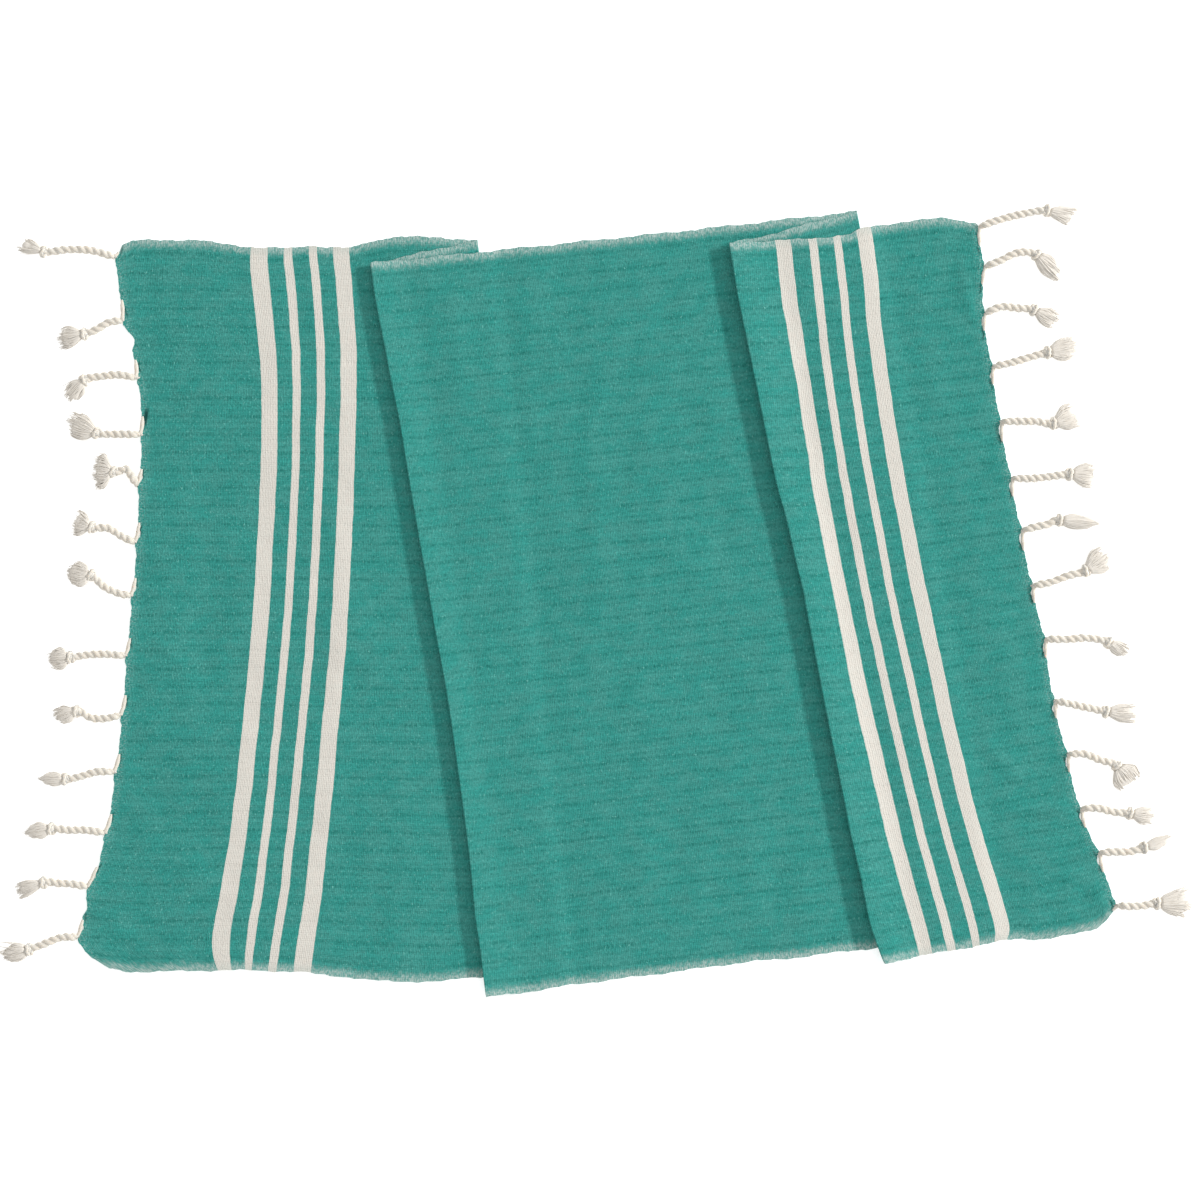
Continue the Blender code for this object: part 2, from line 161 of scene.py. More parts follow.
# ------------------------------------------------------------------- functions
def through(points, x):
    """Smooth curve through (x, y) points, for one x or many."""
    px, py = (np.array([p[k] for p in points]) for k in (0, 1))
    n = len(px)
    lo, hi = np.maximum(np.arange(n) - 1, 0), np.minimum(np.arange(n) + 1, n - 1)
    m = (py[hi] - py[lo]) / (px[hi] - px[lo])
    x = np.clip(np.asarray(x, float), px[0], px[-1])
    i = np.clip(np.searchsorted(px, x, side="right") - 1, 0, n - 2)
    h = px[i + 1] - px[i]
    t = (x - px[i]) / h
    return (
        py[i] * (1 + 2 * t) * (1 - t) ** 2
        + m[i] * h * t * (1 - t) ** 2
        + py[i + 1] * t * t * (3 - 2 * t)
        + m[i + 1] * h * t * t * (t - 1)
    )


def crease_u(k, v):
    back, front = CREASES[k]
    return front + (back - front) * (v + CLOTH_WIDTH / 2) / CLOTH_WIDTH


def mirrored(p, k):
    a = np.array([crease_u(k, -0.5), -0.5])
    d = np.array([crease_u(k, 0.5), 0.5]) - a
    d = d / np.linalg.norm(d)
    w = p - a
    return a + 2 * (w @ d)[..., None] * d - w


def lay(u, v, panel):
    p = np.stack(np.broadcast_arrays(np.asarray(u, float), np.asarray(v, float)), -1)
    for k in range(panel - 1, -1, -1):
        p = mirrored(p, k)
    return p + np.array([LAY_X, LAY_Y])


def unlay(xy, panel):
    p = np.asarray(xy, float) - np.array([LAY_X, LAY_Y])
    for k in range(panel):
        p = mirrored(p, k)
    return p


def fold_line(k):
    front = lay(crease_u(k, -CLOTH_WIDTH / 2), -CLOTH_WIDTH / 2, k)
    back = lay(crease_u(k, CLOTH_WIDTH / 2), CLOTH_WIDTH / 2, k)
    d = (back - front) / np.linalg.norm(back - front)
    return front, back, np.array([d[1], -d[0]])


FOLDS = [fold_line(k) for k in range(4)]


def right_of(k, xy):
    """How far points of the plan lie to the right of fold k."""
    front, _, right = FOLDS[k]
    return (xy - front) @ right


def beside(k, offset, panel):
    front, back, right = FOLDS[k]
    a = unlay(front + right * offset, panel)
    b = unlay(back + right * offset, panel)
    return lambda v: a[0] + (b[0] - a[0]) * (v - a[1]) / (b[1] - a[1])


def cloth_points(station, t):
    v = (t - 0.5) * CLOTH_WIDTH
    for _ in range(6):
        u = station(v)
        lo, hi = through(EDGE_FRONT, u), through(EDGE_BACK, u)
        v = lo + t * (hi - lo)
    return u, v


def ease(s):
    """1 falling to 0 as s goes from 0 to 1, level at both ends."""
    s = np.clip(s, 0, 1)
    return (1 - s) ** 2 * (1 + 2 * s)


def slope(s, k):
    """1 falling to 0 as s goes from 0 to 1, with a start as steep as 2 - k."""
    s = np.clip(s, 0, 1)
    return (1 - s) ** 2 * (1 + k * s)


def rise(s):
    return 1 - ease(s)


def waves(x, y, seed, shortest, longest, count=14):
    """Smooth random hills between -1 and 1 or so, from plane waves."""
    r = np.random.default_rng(seed)
    total = np.zeros(np.broadcast(x, y).shape)
    for _ in range(count):
        length = shortest * (longest / shortest) ** r.random()
        a, phase = r.random() * math.tau, r.random() * math.tau
        k = math.tau / length
        total += np.sin(k * (x * math.cos(a) + y * math.sin(a)) + phase) * (length / longest) ** 0.5
    return total / math.sqrt(count) * 1.1


def spaced_steps(length, near, far, ends):
    """Distances from 0 to length: fine near the marked ends, coarse between."""
    marks, at, step = [0.0], 0.0, near
    while at < length:
        edge = min(at if ends[0] else 9, length - at if ends[1] else 9)
        step = near + (far - near) * min(1.0, max(0.0, edge - 0.012) / 0.02)
        at += step
        marks.append(at)
    marks = np.array(marks)
    return marks * (length / marks[-1])


def hem_frame(hem, v, end_panel):
    e = 0.004
    here = lay(through(hem, v), v, end_panel)
    a = lay(through(hem, v - e), v - e, end_panel)
    b = lay(through(hem, v + e), v + e, end_panel)
    along = (b - a) / np.linalg.norm(b - a)
    if along[1] < 0:
        along = -along
    side = -1.0 if end_panel == 0 else 1.0
    return here, along, np.array([along[1], -along[0]]) * side


def tassel_frame(row, hem, end_panel):
    v, reach, drift, bow1, bow2, heading, length, width = row
    side = -1.0 if end_panel == 0 else 1.0
    here, along, out = hem_frame(hem, v / 1000.0, end_panel)
    chord = np.array([side * reach, drift]) / 1000.0
    left = np.array([-chord[1], chord[0]]) / np.linalg.norm(chord)
    first = chord / 3 + left * bow1 / 1000.0
    lean = math.sqrt(max(0.0, 1.0 - float(first @ out / np.linalg.norm(first)) ** 2))
    root = here + out * (TASSEL_CLEAR + ROOT_R * lean)
    knot = here + chord
    a = math.radians(heading)
    brush = np.array([side * math.cos(a), math.sin(a)])
    points = [root, here + first, here + chord * 2 / 3 + left * bow2 / 1000.0, knot, knot + brush * length / 1000.0]
    return points, root, along, out, width / 1000.0


def catmull(points, i, t):
    p1, p2 = points[i], points[i + 1]
    p0 = points[i - 1] if i > 0 else p1 * 2 - p2
    p3 = points[i + 2] if i + 2 < len(points) else p2 * 2 - p1
    return 0.5 * (p1 * 2 + (p2 - p0) * t + (p0 * 2 - p1 * 5 + p2 * 4 - p3) * t * t + (p1 * 3 - p0 - p2 * 3 + p3) * t * t * t)


def resampled(points, step):
    """A polyline again with even steps."""
    points = np.asarray(points, float)
    along = np.concatenate([[0], np.cumsum(np.linalg.norm(np.diff(points, axis=0), axis=1))])
    at = np.linspace(0, along[-1], max(3, int(math.ceil(along[-1] / step)) + 1))
    return np.stack([np.interp(at, along, points[:, k]) for k in range(3)], 1), at


def make_mesh(name, verts, faces, mat, uv=None, loop_normals=None, uv_name="cloth"):
    """An object from points and a list of face arrays (quads or triangles)."""
    me = bpy.data.meshes.new(name)
    verts = np.ascontiguousarray(verts, np.float32)
    me.vertices.add(len(verts))
    me.vertices.foreach_set("co", verts.ravel())
    index = np.concatenate([f.ravel() for f in faces]).astype(np.int32)
    sizes = np.concatenate([np.full(len(f), f.shape[1], np.int32) for f in faces])
    starts = np.concatenate([[0], np.cumsum(sizes)[:-1]]).astype(np.int32)
    me.loops.add(len(index))
    me.polygons.add(len(sizes))
    me.polygons.foreach_set("loop_start", starts)
    me.polygons.foreach_set("vertices", index)
    me.update(calc_edges=True)
    me.validate()
    if uv is not None:
        layer = me.uv_layers.new(name=uv_name)
        layer.data.foreach_set("uv", np.ascontiguousarray(uv[index], np.float32).ravel())
    me.shade_smooth()
    if loop_normals is not None:
        me.normals_split_custom_set(loop_normals.tolist())
    if mat is not None:
        me.materials.append(mat)
    obj = bpy.data.objects.new(name, me)
    scene.collection.objects.link(obj)
    return obj


# ----------------------------------------------------------------- node making
class Nodes:
    """Short ways to write a node material."""

    def __init__(self, name):
        self.mat = bpy.data.materials.new(name)
        self.mat.use_nodes = True
        self.nt = self.mat.node_tree
        self.shader = self.nt.nodes["Principled BSDF"]

    def put(self, socket, value):
        if isinstance(value, bpy.types.NodeSocket):
            self.nt.links.new(value, socket)
        elif value is not None:
            socket.default_value = value

    def math(self, op, a, b=None, c=None, clamp=False):
        n = self.nt.nodes.new("ShaderNodeMath")
        n.operation, n.use_clamp = op, clamp
        for s, x in zip(n.inputs, (a, b, c)):
            self.put(s, x)
        return n.outputs[0]

    def add(self, a, b):
        return self.math("ADD", a, b)

    def sub(self, a, b):
        return self.math("SUBTRACT", a, b)

    def mul(self, a, b, clamp=False):
        return self.math("MULTIPLY", a, b, clamp=clamp)

    def ramp(self, x, lo, hi, out_lo=0.0, out_hi=1.0, smooth=True):
        n = self.nt.nodes.new("ShaderNodeMapRange")
        n.interpolation_type = "SMOOTHSTEP" if smooth else "LINEAR"
        for s, v in zip(n.inputs[:5], (x, lo, hi, out_lo, out_hi)):
            self.put(s, v)
        return n.outputs[0]

    def mix(self, f, a, b, blend="MIX"):
        n = self.nt.nodes.new("ShaderNodeMix")
        n.data_type, n.blend_type = "RGBA", blend
        self.put(n.inputs[0], f)
        self.put(n.inputs[6], a)
        self.put(n.inputs[7], b)
        return n.outputs[2]

    def xyz(self, x, y, z=0.0):
        n = self.nt.nodes.new("ShaderNodeCombineXYZ")
        for s, v in zip(n.inputs, (x, y, z)):
            self.put(s, v)
        return n.outputs[0]

    def noise(self, vector, scale, detail=2.0, rough=0.5):
        n = self.nt.nodes.new("ShaderNodeTexNoise")
        self.put(n.inputs["Vector"], vector)
        n.inputs["Scale"].default_value = scale
        n.inputs["Detail"].default_value = detail
        n.inputs["Roughness"].default_value = rough
        return n.outputs[0]

    def bump(self, height, distance, strength=1.0):
        n = self.nt.nodes.new("ShaderNodeBump")
        n.inputs["Strength"].default_value = strength
        n.inputs["Distance"].default_value = distance
        self.put(n.inputs["Height"], height)
        return n.outputs[0]


def srgb(r, g, b, k=1.0):
    """An 8-bit display colour as a linear one, times k."""
    f = [c / 255.0 for c in (r, g, b)]
    return tuple((x / 12.92 if x <= 0.04045 else ((x + 0.055) / 1.055) ** 2.4) * k for x in f) + (1.0,)


EXPOSED = 1.0 / 1.11  # the studio light makes a surface this much brighter than its own colour


def cloth_material():
    m = Nodes("woven_cloth")
    uv = m.nt.nodes.new("ShaderNodeUVMap")
    uv.uv_map = "cloth"
    sep = m.nt.nodes.new("ShaderNodeSeparateXYZ")
    m.put(sep.inputs[0], uv.outputs[0])
    w, v = sep.outputs[0], sep.outputs[1]
    wm, vm = m.mul(w, 1000.0), m.mul(v, 1000.0)  # in millimetres
    plane = m.xyz(wm, vm)
    # the weft lines wander a little, as woven ones do
    wander = m.noise(m.xyz(m.mul(wm, 0.012), m.mul(vm, 0.02)), 1.0, 2.0)
    wander2 = m.noise(m.xyz(m.mul(wm, 0.25), m.mul(vm, 0.35)), 1.0, 1.0)
    ws = m.add(wm, m.add(m.mul(m.sub(wander, 0.5), 3.4), m.mul(m.sub(wander2, 0.5), 0.9)))

    # stripes
    stripe = 0.0
    for middle, bands in ((AT_LEFT, STRIPES_LEFT), (AT_RIGHT, STRIPES_RIGHT)):
        for lo, hi in bands:
            centre, half = (middle + (lo + hi) / 2) * 1000, (hi - lo) / 2 * 1000
            d = m.math("ABSOLUTE", m.sub(ws, centre))
            if bands is STRIPES_RIGHT and lo == bands[0][0]:
                # here the cloth is drawn over towards its fold, which widens it
                drawn = m.add(m.ramp(vm, 250.0, 430.0, 3.6, -3.0), centre)
                d = m.math("ABSOLUTE", m.mul(m.sub(ws, drawn), m.ramp(vm, 250.0, 430.0, 1.20, 1.02)))
            half -= 0.50
            band = m.ramp(d, half - 0.55, half + 0.55, 1.0, 0.0)
            stripe = band if isinstance(stripe, float) else m.math("MAXIMUM", stripe, band)

    # rows that run along the towel: a 23.6 mm repeat with finer ribs in it
    vw = m.add(vm, m.mul(m.sub(m.noise(m.xyz(m.mul(wm, 0.012), m.mul(vm, 0.05)), 1.0, 2.0), 0.5), 7.0))

    def wave(length, phase=0.0):
        return m.math("SINE", m.mul(m.add(vw, phase), math.tau / length))

    # each repeat has one strong broken line of stitches and two weak ones
    def line(phase, width, power, seed):
        near = m.math("ABSOLUTE", m.sub(m.math("FRACT", m.math("DIVIDE", m.add(vw, phase + 2360.0), 23.6)), 0.5))
        on = m.ramp(near, 0.0, width / 23.6, 1.0, 0.0)
        broken = m.noise(m.xyz(m.mul(wm, 0.045), m.mul(vm, 0.045), seed), 1.0, 2.0, 0.6)
        stitch = m.noise(m.xyz(m.mul(wm, 0.38), m.mul(vm, 0.10), seed + 3.0), 1.0, 1.0, 0.6)
        much = m.mul(m.ramp(broken, 0.38, 0.58, 0.30, 1.0), m.ramp(stitch, 0.34, 0.58, 0.15, 1.0))
        return m.mul(m.mul(on, much), power)

    lines = m.add(line(0.0, 4.4, 0.85, 0.0), m.add(line(7.9, 3.6, 0.45, 7.0), line(15.8, 3.6, 0.42, 13.0)))
    row = m.add(m.mul(wave(23.6, 5.9), 0.5), m.mul(wave(7.87, 2.0), 0.35))
    dash = m.noise(m.xyz(m.mul(wm, 0.11), m.mul(vw, 0.46)), 1.0, 2.0, 0.6)
    pick = m.noise(m.xyz(m.mul(wm, 0.50), m.mul(vm, 0.16), 5.0), 1.0, 2.0, 0.6)
    fleck = m.noise(m.xyz(m.mul(wm, 0.34), m.mul(vw, 0.25)), 1.0, 1.0, 0.6)
    grain = m.noise(m.xyz(m.mul(m.add(wm, vm), 0.34), m.mul(m.sub(wm, vm), 0.26), 9.0), 1.0, 2.0, 0.6)
    ranks = m.math("MINIMUM", m.add(0.30, lines), 1.0)
    specks = m.mul(m.ramp(fleck, 0.60, 0.74), m.add(0.30, m.mul(ranks, 0.70)))
    pits = m.mul(m.ramp(fleck, 0.42, 0.30), m.add(0.30, m.mul(ranks, 0.70)))
    mottle = m.noise(m.xyz(m.mul(wm, 0.018), m.mul(vm, 0.018)), 1.0, 3.0, 0.55)
    grey = m.noise(m.xyz(m.mul(wm, 0.035), m.mul(vm, 0.045)), 1.0, 3.0, 0.6)

    base = srgb(61, 150, 141, EXPOSED)
    cool = srgb(50, 149, 139, EXPOSED)
    dull = srgb(75, 153, 144, EXPOSED)
    light = srgb(118, 196, 185, EXPOSED)
    dark = srgb(24, 104, 97, EXPOSED)
    teal = m.mix(m.ramp(grey, 0.35, 0.65), cool, dull)
    teal = m.mix(0.40, teal, base)
    # the weft is looser, and its surface rougher, on the left end
    loosened = m.ramp(wm, 60.0, 520.0, 0.34, 0.0)
    # the rows are rows of small puckers, light and dark in turn
    pucker = m.noise(m.xyz(m.mul(wm, 0.30), m.mul(vw, 0.12), 21.0), 1.0, 1.0, 0.6)
    puckered = m.mul(m.mul(m.sub(pucker, 0.5), m.math("MINIMUM", lines, 1.0)), 0.75)
    swing = m.add(
        m.add(m.mul(m.sub(grain, 0.5), loosened), m.add(m.add(m.mul(row, 0.050), puckered), m.mul(m.sub(dash, 0.5), 0.52))),
        m.add(m.mul(m.sub(grain, 0.5), 0.62), m.add(m.mul(m.sub(pick, 0.5), 0.55), m.mul(m.sub(mottle, 0.5), 0.14))),
    )
    value = m.math("MAXIMUM", m.add(1.0, swing), 0.3)
    teal = m.mix(1.0, teal, m.xyz(value, value, value), "MULTIPLY")
    teal = m.mix(m.mul(lines, 0.80, clamp=True), teal, srgb(36, 126, 116, EXPOSED))
    teal = m.mix(m.mul(specks, m.add(0.66, m.mul(loosened, 0.5))), teal, light)
    teal = m.mix(m.mul(pits, 0.55), teal, dark)

    # cream weft with faint ribs along the stripe
    rib = m.math("SINE", m.mul(ws, math.tau / 3.1))
    soft = m.noise(m.xyz(m.mul(wm, 0.5), m.mul(vm, 0.09)), 1.0, 2.0, 0.6)
    cream_v = m.add(1.0, m.add(m.mul(rib, 0.014), m.add(m.mul(m.sub(soft, 0.5), 0.14), m.mul(m.sub(grain, 0.5), 0.10))))
    cream = m.mix(m.ramp(soft, 0.3, 0.7), srgb(228, 222, 212, EXPOSED), srgb(221, 219, 210, EXPOSED))
    cream = m.mix(1.0, cream, m.xyz(cream_v, cream_v, cream_v), "MULTIPLY")
    colour = m.mix(stripe, teal, cream)

    # selvedges: the cream warp shows through, with the weft turning round it
    from_edge = m.sub(CLOTH_WIDTH * 500.0, m.math("ABSOLUTE", vm))
    ragged = m.noise(m.xyz(m.mul(wm, 0.16), m.mul(vm, 0.12)), 1.0, 3.0, 0.6)
    edge = m.ramp(m.add(from_edge, m.mul(m.sub(ragged, 0.5), 15.0)), 2.0, 14.0, 1.0, 0.0)
    turns = m.noise(m.xyz(m.mul(wm, 0.48), m.mul(vm, 0.22)), 1.0, 2.0, 0.6)
    pale = m.mix(m.ramp(turns, 0.36, 0.64), srgb(112, 166, 158, EXPOSED), srgb(182, 202, 196, EXPOSED))
    colour = m.mix(m.mul(edge, m.sub(0.92, m.mul(stripe, 0.75))), colour, pale)
    # hems: the last picks are loose and the warp shows between them
    from_hem = m.math("MINIMUM", wm, m.sub(LENGTH * 1000.0, wm))
    loose = m.noise(m.xyz(m.mul(wm, 0.30), m.mul(vm, 0.60)), 1.0, 2.0, 0.6)
    hem = m.mul(m.ramp(from_hem, 1.0, 17.0, 1.0, 0.0), m.ramp(loose, 0.48, 0.62))
    colour = m.mix(m.mul(hem, 0.60), colour, srgb(158, 196, 188, EXPOSED))
    # painted shade: beside each tassel's root the gathered cloth makes a small crease, and its shade is painted in as a
    # dark streak
    root_crease_shade = 0.0
    for rows, side, edge_at in ((TASSELS_LEFT, 1.0, 0.0), (TASSELS_RIGHT, -1.0, LENGTH * 1000.0)):
        for i, r in enumerate(rows):
            deep = side > 0 and i == 3
            start, run, wide = r[0] + side * 3.0, 34.0 if deep else 19.0, 4.4 if deep else 2.0
            along = m.mul(m.sub(vm, start), side / run)
            inward = m.mul(m.sub(wm, edge_at), side)
            middle = m.add(m.mul(m.math("SINE", m.mul(along, 7.0 + i % 3)), 0.0 if deep else 0.9), m.mul(along, 7.5 if deep else 1.5))
            off = m.math("ABSOLUTE", m.sub(m.sub(inward, 3.4 if deep else 5.2), middle))
            ends = m.mul(m.ramp(along, 0.0, 0.35), m.ramp(along, 0.65, 1.0, 1.0, 0.0))
            crease_shade_streak = m.mul(m.mul(m.ramp(off, 0.3 * wide, wide, 1.0, 0.0), ends), 0.92 if deep else 0.50 + 0.13 * (i % 3))
            root_crease_shade = crease_shade_streak if isinstance(root_crease_shade, float) else m.math("MAXIMUM", root_crease_shade, crease_shade_streak)
    # the painted crease shade goes into the cloth's colour here
    colour = m.mix(root_crease_shade, colour, srgb(14, 66, 62, EXPOSED))
    m.put(m.shader.inputs["Base Color"], colour)

    # relief: rows, slub and the two thread directions
    threads = m.add(
        m.mul(m.math("SINE", m.mul(ws, math.tau / 2.2)), 0.10),
        m.mul(m.math("SINE", m.mul(vw, math.tau / 2.4)), 0.10),
    )
    height = m.add(
        m.sub(m.mul(dash, 0.55), m.mul(lines, 0.45)),
        m.add(m.add(m.mul(grain, 0.55), m.mul(pick, 0.45)), m.add(m.mul(specks, 0.45), threads)),
    )
    m.put(m.shader.inputs["Normal"], m.bump(height, 0.0013, 0.70))
    rough = m.ramp(grain, 0.3, 0.7, 0.93, 0.82)
    m.put(m.shader.inputs["Roughness"], m.mul(m.sub(rough, m.mul(stripe, 0.04)), 1.0))
    m.shader.inputs["Specular IOR Level"].default_value = 0.10
    m.shader.inputs["Sheen Weight"].default_value = 0.03
    m.shader.inputs["Sheen Roughness"].default_value = 0.5
    return m.mat


def yarn_material(name, warm, pale, fibre=(0.10, 1.1), depth=0.0004, inner=0.55):
    """Undyed cotton: soft fibres that run along the piece's own length (UV x)."""
    m = Nodes(name)
    uv = m.nt.nodes.new("ShaderNodeUVMap")
    uv.uv_map = "cloth"
    sep = m.nt.nodes.new("ShaderNodeSeparateXYZ")
    m.put(sep.inputs[0], uv.outputs[0])
    x, y = m.mul(sep.outputs[0], 1000.0), m.mul(sep.outputs[1], 1000.0)
    hair = m.noise(m.xyz(m.mul(x, fibre[0]), m.mul(y, fibre[1])), 1.0, 3.0, 0.6)
    cloud = m.noise(m.xyz(m.mul(x, 0.05), m.mul(y, 0.05), 3.0), 1.0, 2.0, 0.5)
    colour = m.mix(m.ramp(cloud, 0.3, 0.7), warm, pale)
    value = m.add(1.0, m.mul(m.sub(hair, 0.5), 0.30))
    colour = m.mix(1.0, colour, m.xyz(value, value, value), "MULTIPLY")
    m.put(m.shader.inputs["Base Color"], colour)
    m.put(m.shader.inputs["Normal"], m.bump(hair, depth, 0.6))
    m.put(m.shader.inputs["Roughness"], m.ramp(hair, 0.3, 0.7, 0.92, 0.80))
    m.shader.inputs["Subsurface Weight"].default_value = inner
    m.shader.inputs["Subsurface Radius"].default_value = (1.0, 0.92, 0.82)
    m.shader.inputs["Subsurface Scale"].default_value = 0.0028
    m.shader.inputs["Specular IOR Level"].default_value = 0.12
    m.shader.inputs["Sheen Weight"].default_value = 0.03
    m.shader.inputs["Sheen Roughness"].default_value = 0.5
    return m.mat


CLOTH = cloth_material()
ROPE = yarn_material("tassel_cord_cotton", srgb(229, 221, 208, EXPOSED), srgb(224, 219, 209, EXPOSED))
# painted light: the knot and the brush are lighter copies of the cord's cotton, to lift the shade that falls on the
# knot's sides and between the brush's strands
KNOT_COTTON_LIGHTENED = yarn_material("tassel_knot_cotton", srgb(238, 229, 216, EXPOSED), srgb(232, 226, 215, EXPOSED))
BRUSH_COTTON_LIGHTENED = yarn_material("tassel_brush_cotton", srgb(240, 233, 222, EXPOSED), srgb(234, 229, 221, EXPOSED), (0.06, 1.2), 0.0002, 0.0)


# ------------------------------------------------------------------- the cloth
def scalloped(hem, rows, end_panel):
    """The hem with its small steps: it is drawn out at each tassel's root and
    falls back beside it, behind on the left hem and in front on the right."""
    side = 1.0 if end_panel == 0 else -1.0

    def line(v):
        u = through(hem, v)
        for i, r in enumerate(rows):
            c = r[0] / 1000.0
            j = 0.75 + 0.5 * (((i * 7919) % 13) / 12.0)
            u = u + side * (
                0.0034 * j * np.exp(-(((v - c - side * 0.0120) / 0.0080) ** 2))
                - 0.0022 * np.exp(-(((v - c + side * 0.0040) / 0.0060) ** 2))
            )
        if end_panel == 0:
            for c, high, wide in ((0.3506, 0.0075, 0.011), (-0.331, 0.0035, 0.012), (-0.388, 0.0040, 0.009)):
                u = u + high * np.exp(-(((v - c) / wide) ** 2))
            u = u + 0.0014
        else:
            u = u - 0.0022
        ragged = 0.0006 * np.sin(v * 410.0 + 1.0) * np.sin(v * 163.0) + 0.0004 * np.sin(v * 1013.0) * np.sin(v * 271.0 + 2.0)
        return u + side * ragged

    return line


def ridge(xy, x0, y0, x1, y1, high, wide, fade=0.3):
    """A soft ridge (or valley) of the cloth from one plan point to another."""
    a, b = np.array([x0, y0]), np.array([x1, y1])
    d = b - a
    long = np.linalg.norm(d)
    d = d / long
    w = xy - a
    s, o = w @ d / long, w @ np.array([-d[1], d[0]])
    ends = rise(s / fade) * rise((1 - s) / fade)
    return high * np.exp(-((o / wide) ** 2)) * ends


def px(x, y):
    """Plan place of a landmark given on a 1200 by 1200 grid over the towel."""
    return (x - 599.5) * 0.0013 + 0.0028, (602.0 - y) * 0.0013 - 0.0002


STEEP = {1: 1.15, 3: 1.75}


def under(k, d):
    """Height of the layer that comes up to upper fold k from below, d from its edge."""
    return Z_RETURN + (CREST[k] - 2 * EDGE_R - Z_RETURN) * slope((d - EDGE_R) / RISE_RUN, 1.0)


def over(k, d):
    """The same for the layer that goes on from it."""
    return Z_OVER + (CREST[k] - Z_OVER) * slope((d - EDGE_R) / LOFT_RUN, STEEP[k])


def build_surface():
    t = np.linspace(0, 1, ROWS)
    hem_l, hem_r = scalloped(HEM_LEFT, TASSELS_LEFT, 0), scalloped(HEM_RIGHT, TASSELS_RIGHT, 4)
    stations, pieces = [], []  # (u of v, panel, height, is it in a fold)

    def between(a, b, steps):
        span = steps[-1]
        return [(lambda v, s=s / span: (1 - s) * a(v) + s * b(v)) for s in steps]

    def panel_run(a, b, k, steps, skip):
        for f in between(a, b, steps)[skip:]:
            stations.append((f, k, None))

    def low_fold(k):
        """Round the edge of a lower fold, from panel k's side to panel k + 1's."""
        r = (Z_RETURN - Z_FLAT) / 2
        c = -(r + T / 2)
        mid = (Z_RETURN + Z_FLAT) / 2
        path = [(-0.0024, Z_FLAT)]
        path += [(c + r * math.cos(q), mid + r * math.sin(q)) for q in np.radians(np.arange(-90, 91, 22.5))]
        path += [(-0.0024, Z_RETURN), (-LOW_SEAM, Z_RETURN)]
        for i, (o, z) in enumerate(path):
            side = k if i <= 5 else k + 1
            stations.append((beside(k, o, side), side, z))

    def high_fold(k):
        """Round an upper fold, from the layer below it to the layer above."""
        top, r = CREST[k], EDGE_R
        c = r + T / 2
        path = [(HIGH_SEAM * 0.66, under(k, HIGH_SEAM * 0.66))]
        path += [(c - r * math.cos(q), top - r + r * math.sin(q)) for q in np.radians(np.arange(-90, 91, 22.5))]
        path += [(HIGH_SEAM * 0.5, over(k, HIGH_SEAM * 0.5)), (HIGH_SEAM, over(k, HIGH_SEAM))]
        for i, (o, z) in enumerate(path):
            side = k if i <= 5 else k + 1
            stations.append((beside(k, o, side), side, z))

    def mark(name):
        pieces.append((name, len(stations) - 1))

    # 0: left end panel
    panel_run(hem_l, beside(0, -LOW_SEAM, 0), 0, spaced_steps(0.50, 0.0024, 0.0056, (True, True)), 0)
    mark("left_end")
    low_fold(0)
    mark("fold_1")
    panel_run(beside(0, -LOW_SEAM, 1), beside(1, HIGH_SEAM, 1), 1, spaced_steps(0.112, 0.003, 0.006, (True, True)), 1)
    mark("left_return")
    high_fold(1)
    mark("fold_2")
    panel_run(beside(1, HIGH_SEAM, 2), beside(2, -LOW_SEAM, 2), 2, spaced_steps(0.64, 0.0022, 0.0056, (True, True)), 1)
    mark("middle")
    low_fold(2)
    mark("fold_3")
    panel_run(beside(2, -LOW_SEAM, 3), beside(3, HIGH_SEAM, 3), 3, spaced_steps(0.145, 0.003, 0.006, (True, True)), 1)
    mark("right_return")
    high_fold(3)
    mark("fold_4")
    panel_run(beside(3, HIGH_SEAM, 4), hem_r, 4, spaced_steps(0.30, 0.0022, 0.0056, (True, True)), 1)
    mark("right_end")

    n = len(stations)
    place, flat = np.zeros((n, ROWS, 3)), np.zeros((n, ROWS, 2))
    for i, (line, k, z) in enumerate(stations):
        u, v = cloth_points(line, t)
        # selvedges waver a little, and the weft's turns make small steps
        wav = 0.0009 * np.sin(u * 71.0 + k) + 0.0006 * np.sin(u * 233.0 + 2 * k) + 0.0004 * np.sin(u * 611.0)
        edge = np.exp(-t / 0.012) - np.exp(-(1 - t) / 0.012)
        lo, hi = through(EDGE_FRONT, u), through(EDGE_BACK, u)
        v2 = v - wav * edge + through(STRAY_BACK, u) * ease((hi - v) / 0.07) + through(STRAY_FRONT, u) * ease((v - lo) / 0.07)
        xy = lay(u, v2, k)
        place[i, :, :2] = xy
        flat[i] = np.stack([u, v], 1)
        if z is not None:
            place[i, :, 2] = z
        elif k == 0:
            place[i, :, 2] = Z_FLAT
        elif k in (1, 3):
            place[i, :, 2] = under(k, right_of(k, xy))
        else:
            low, top = (0, 1) if k == 2 else (2, 3)
            d_low, d_top = right_of(low, xy), right_of(top, xy)
            place[i, :, 2] = over(top, d_top) - (Z_OVER - Z_FLAT) * rise((d_low - 0.001) / 0.030)
        for fold, bow in ((1, BOW_2), (3, BOW_4)):
            if k in (fold, fold + 1):
                place[i, :, 0] += through(bow, xy[:, 1]) * ease(right_of(fold, xy) / BOW_RUN)

    # hills that every layer shares, level along the folds
    panel_at = np.array([s[1] for s in stations])
    xy = place[..., :2].copy()
    near = np.min([np.abs(right_of(k, xy)) for k in range(4)], axis=0)
    free = rise((near - 0.010) / 0.075)
    x, y = xy[..., 0], xy[..., 1]
    hills = 0.5 + 0.5 * waves(x, y, 11, 0.085, 0.30, 18)
    hills = np.clip(hills, 0, 1.3) * 0.0020
    fine = (0.5 + 0.5 * waves(x, y, 23, 0.035, 0.075, 18)) * 0.0007
    shared = (hills + fine) * free
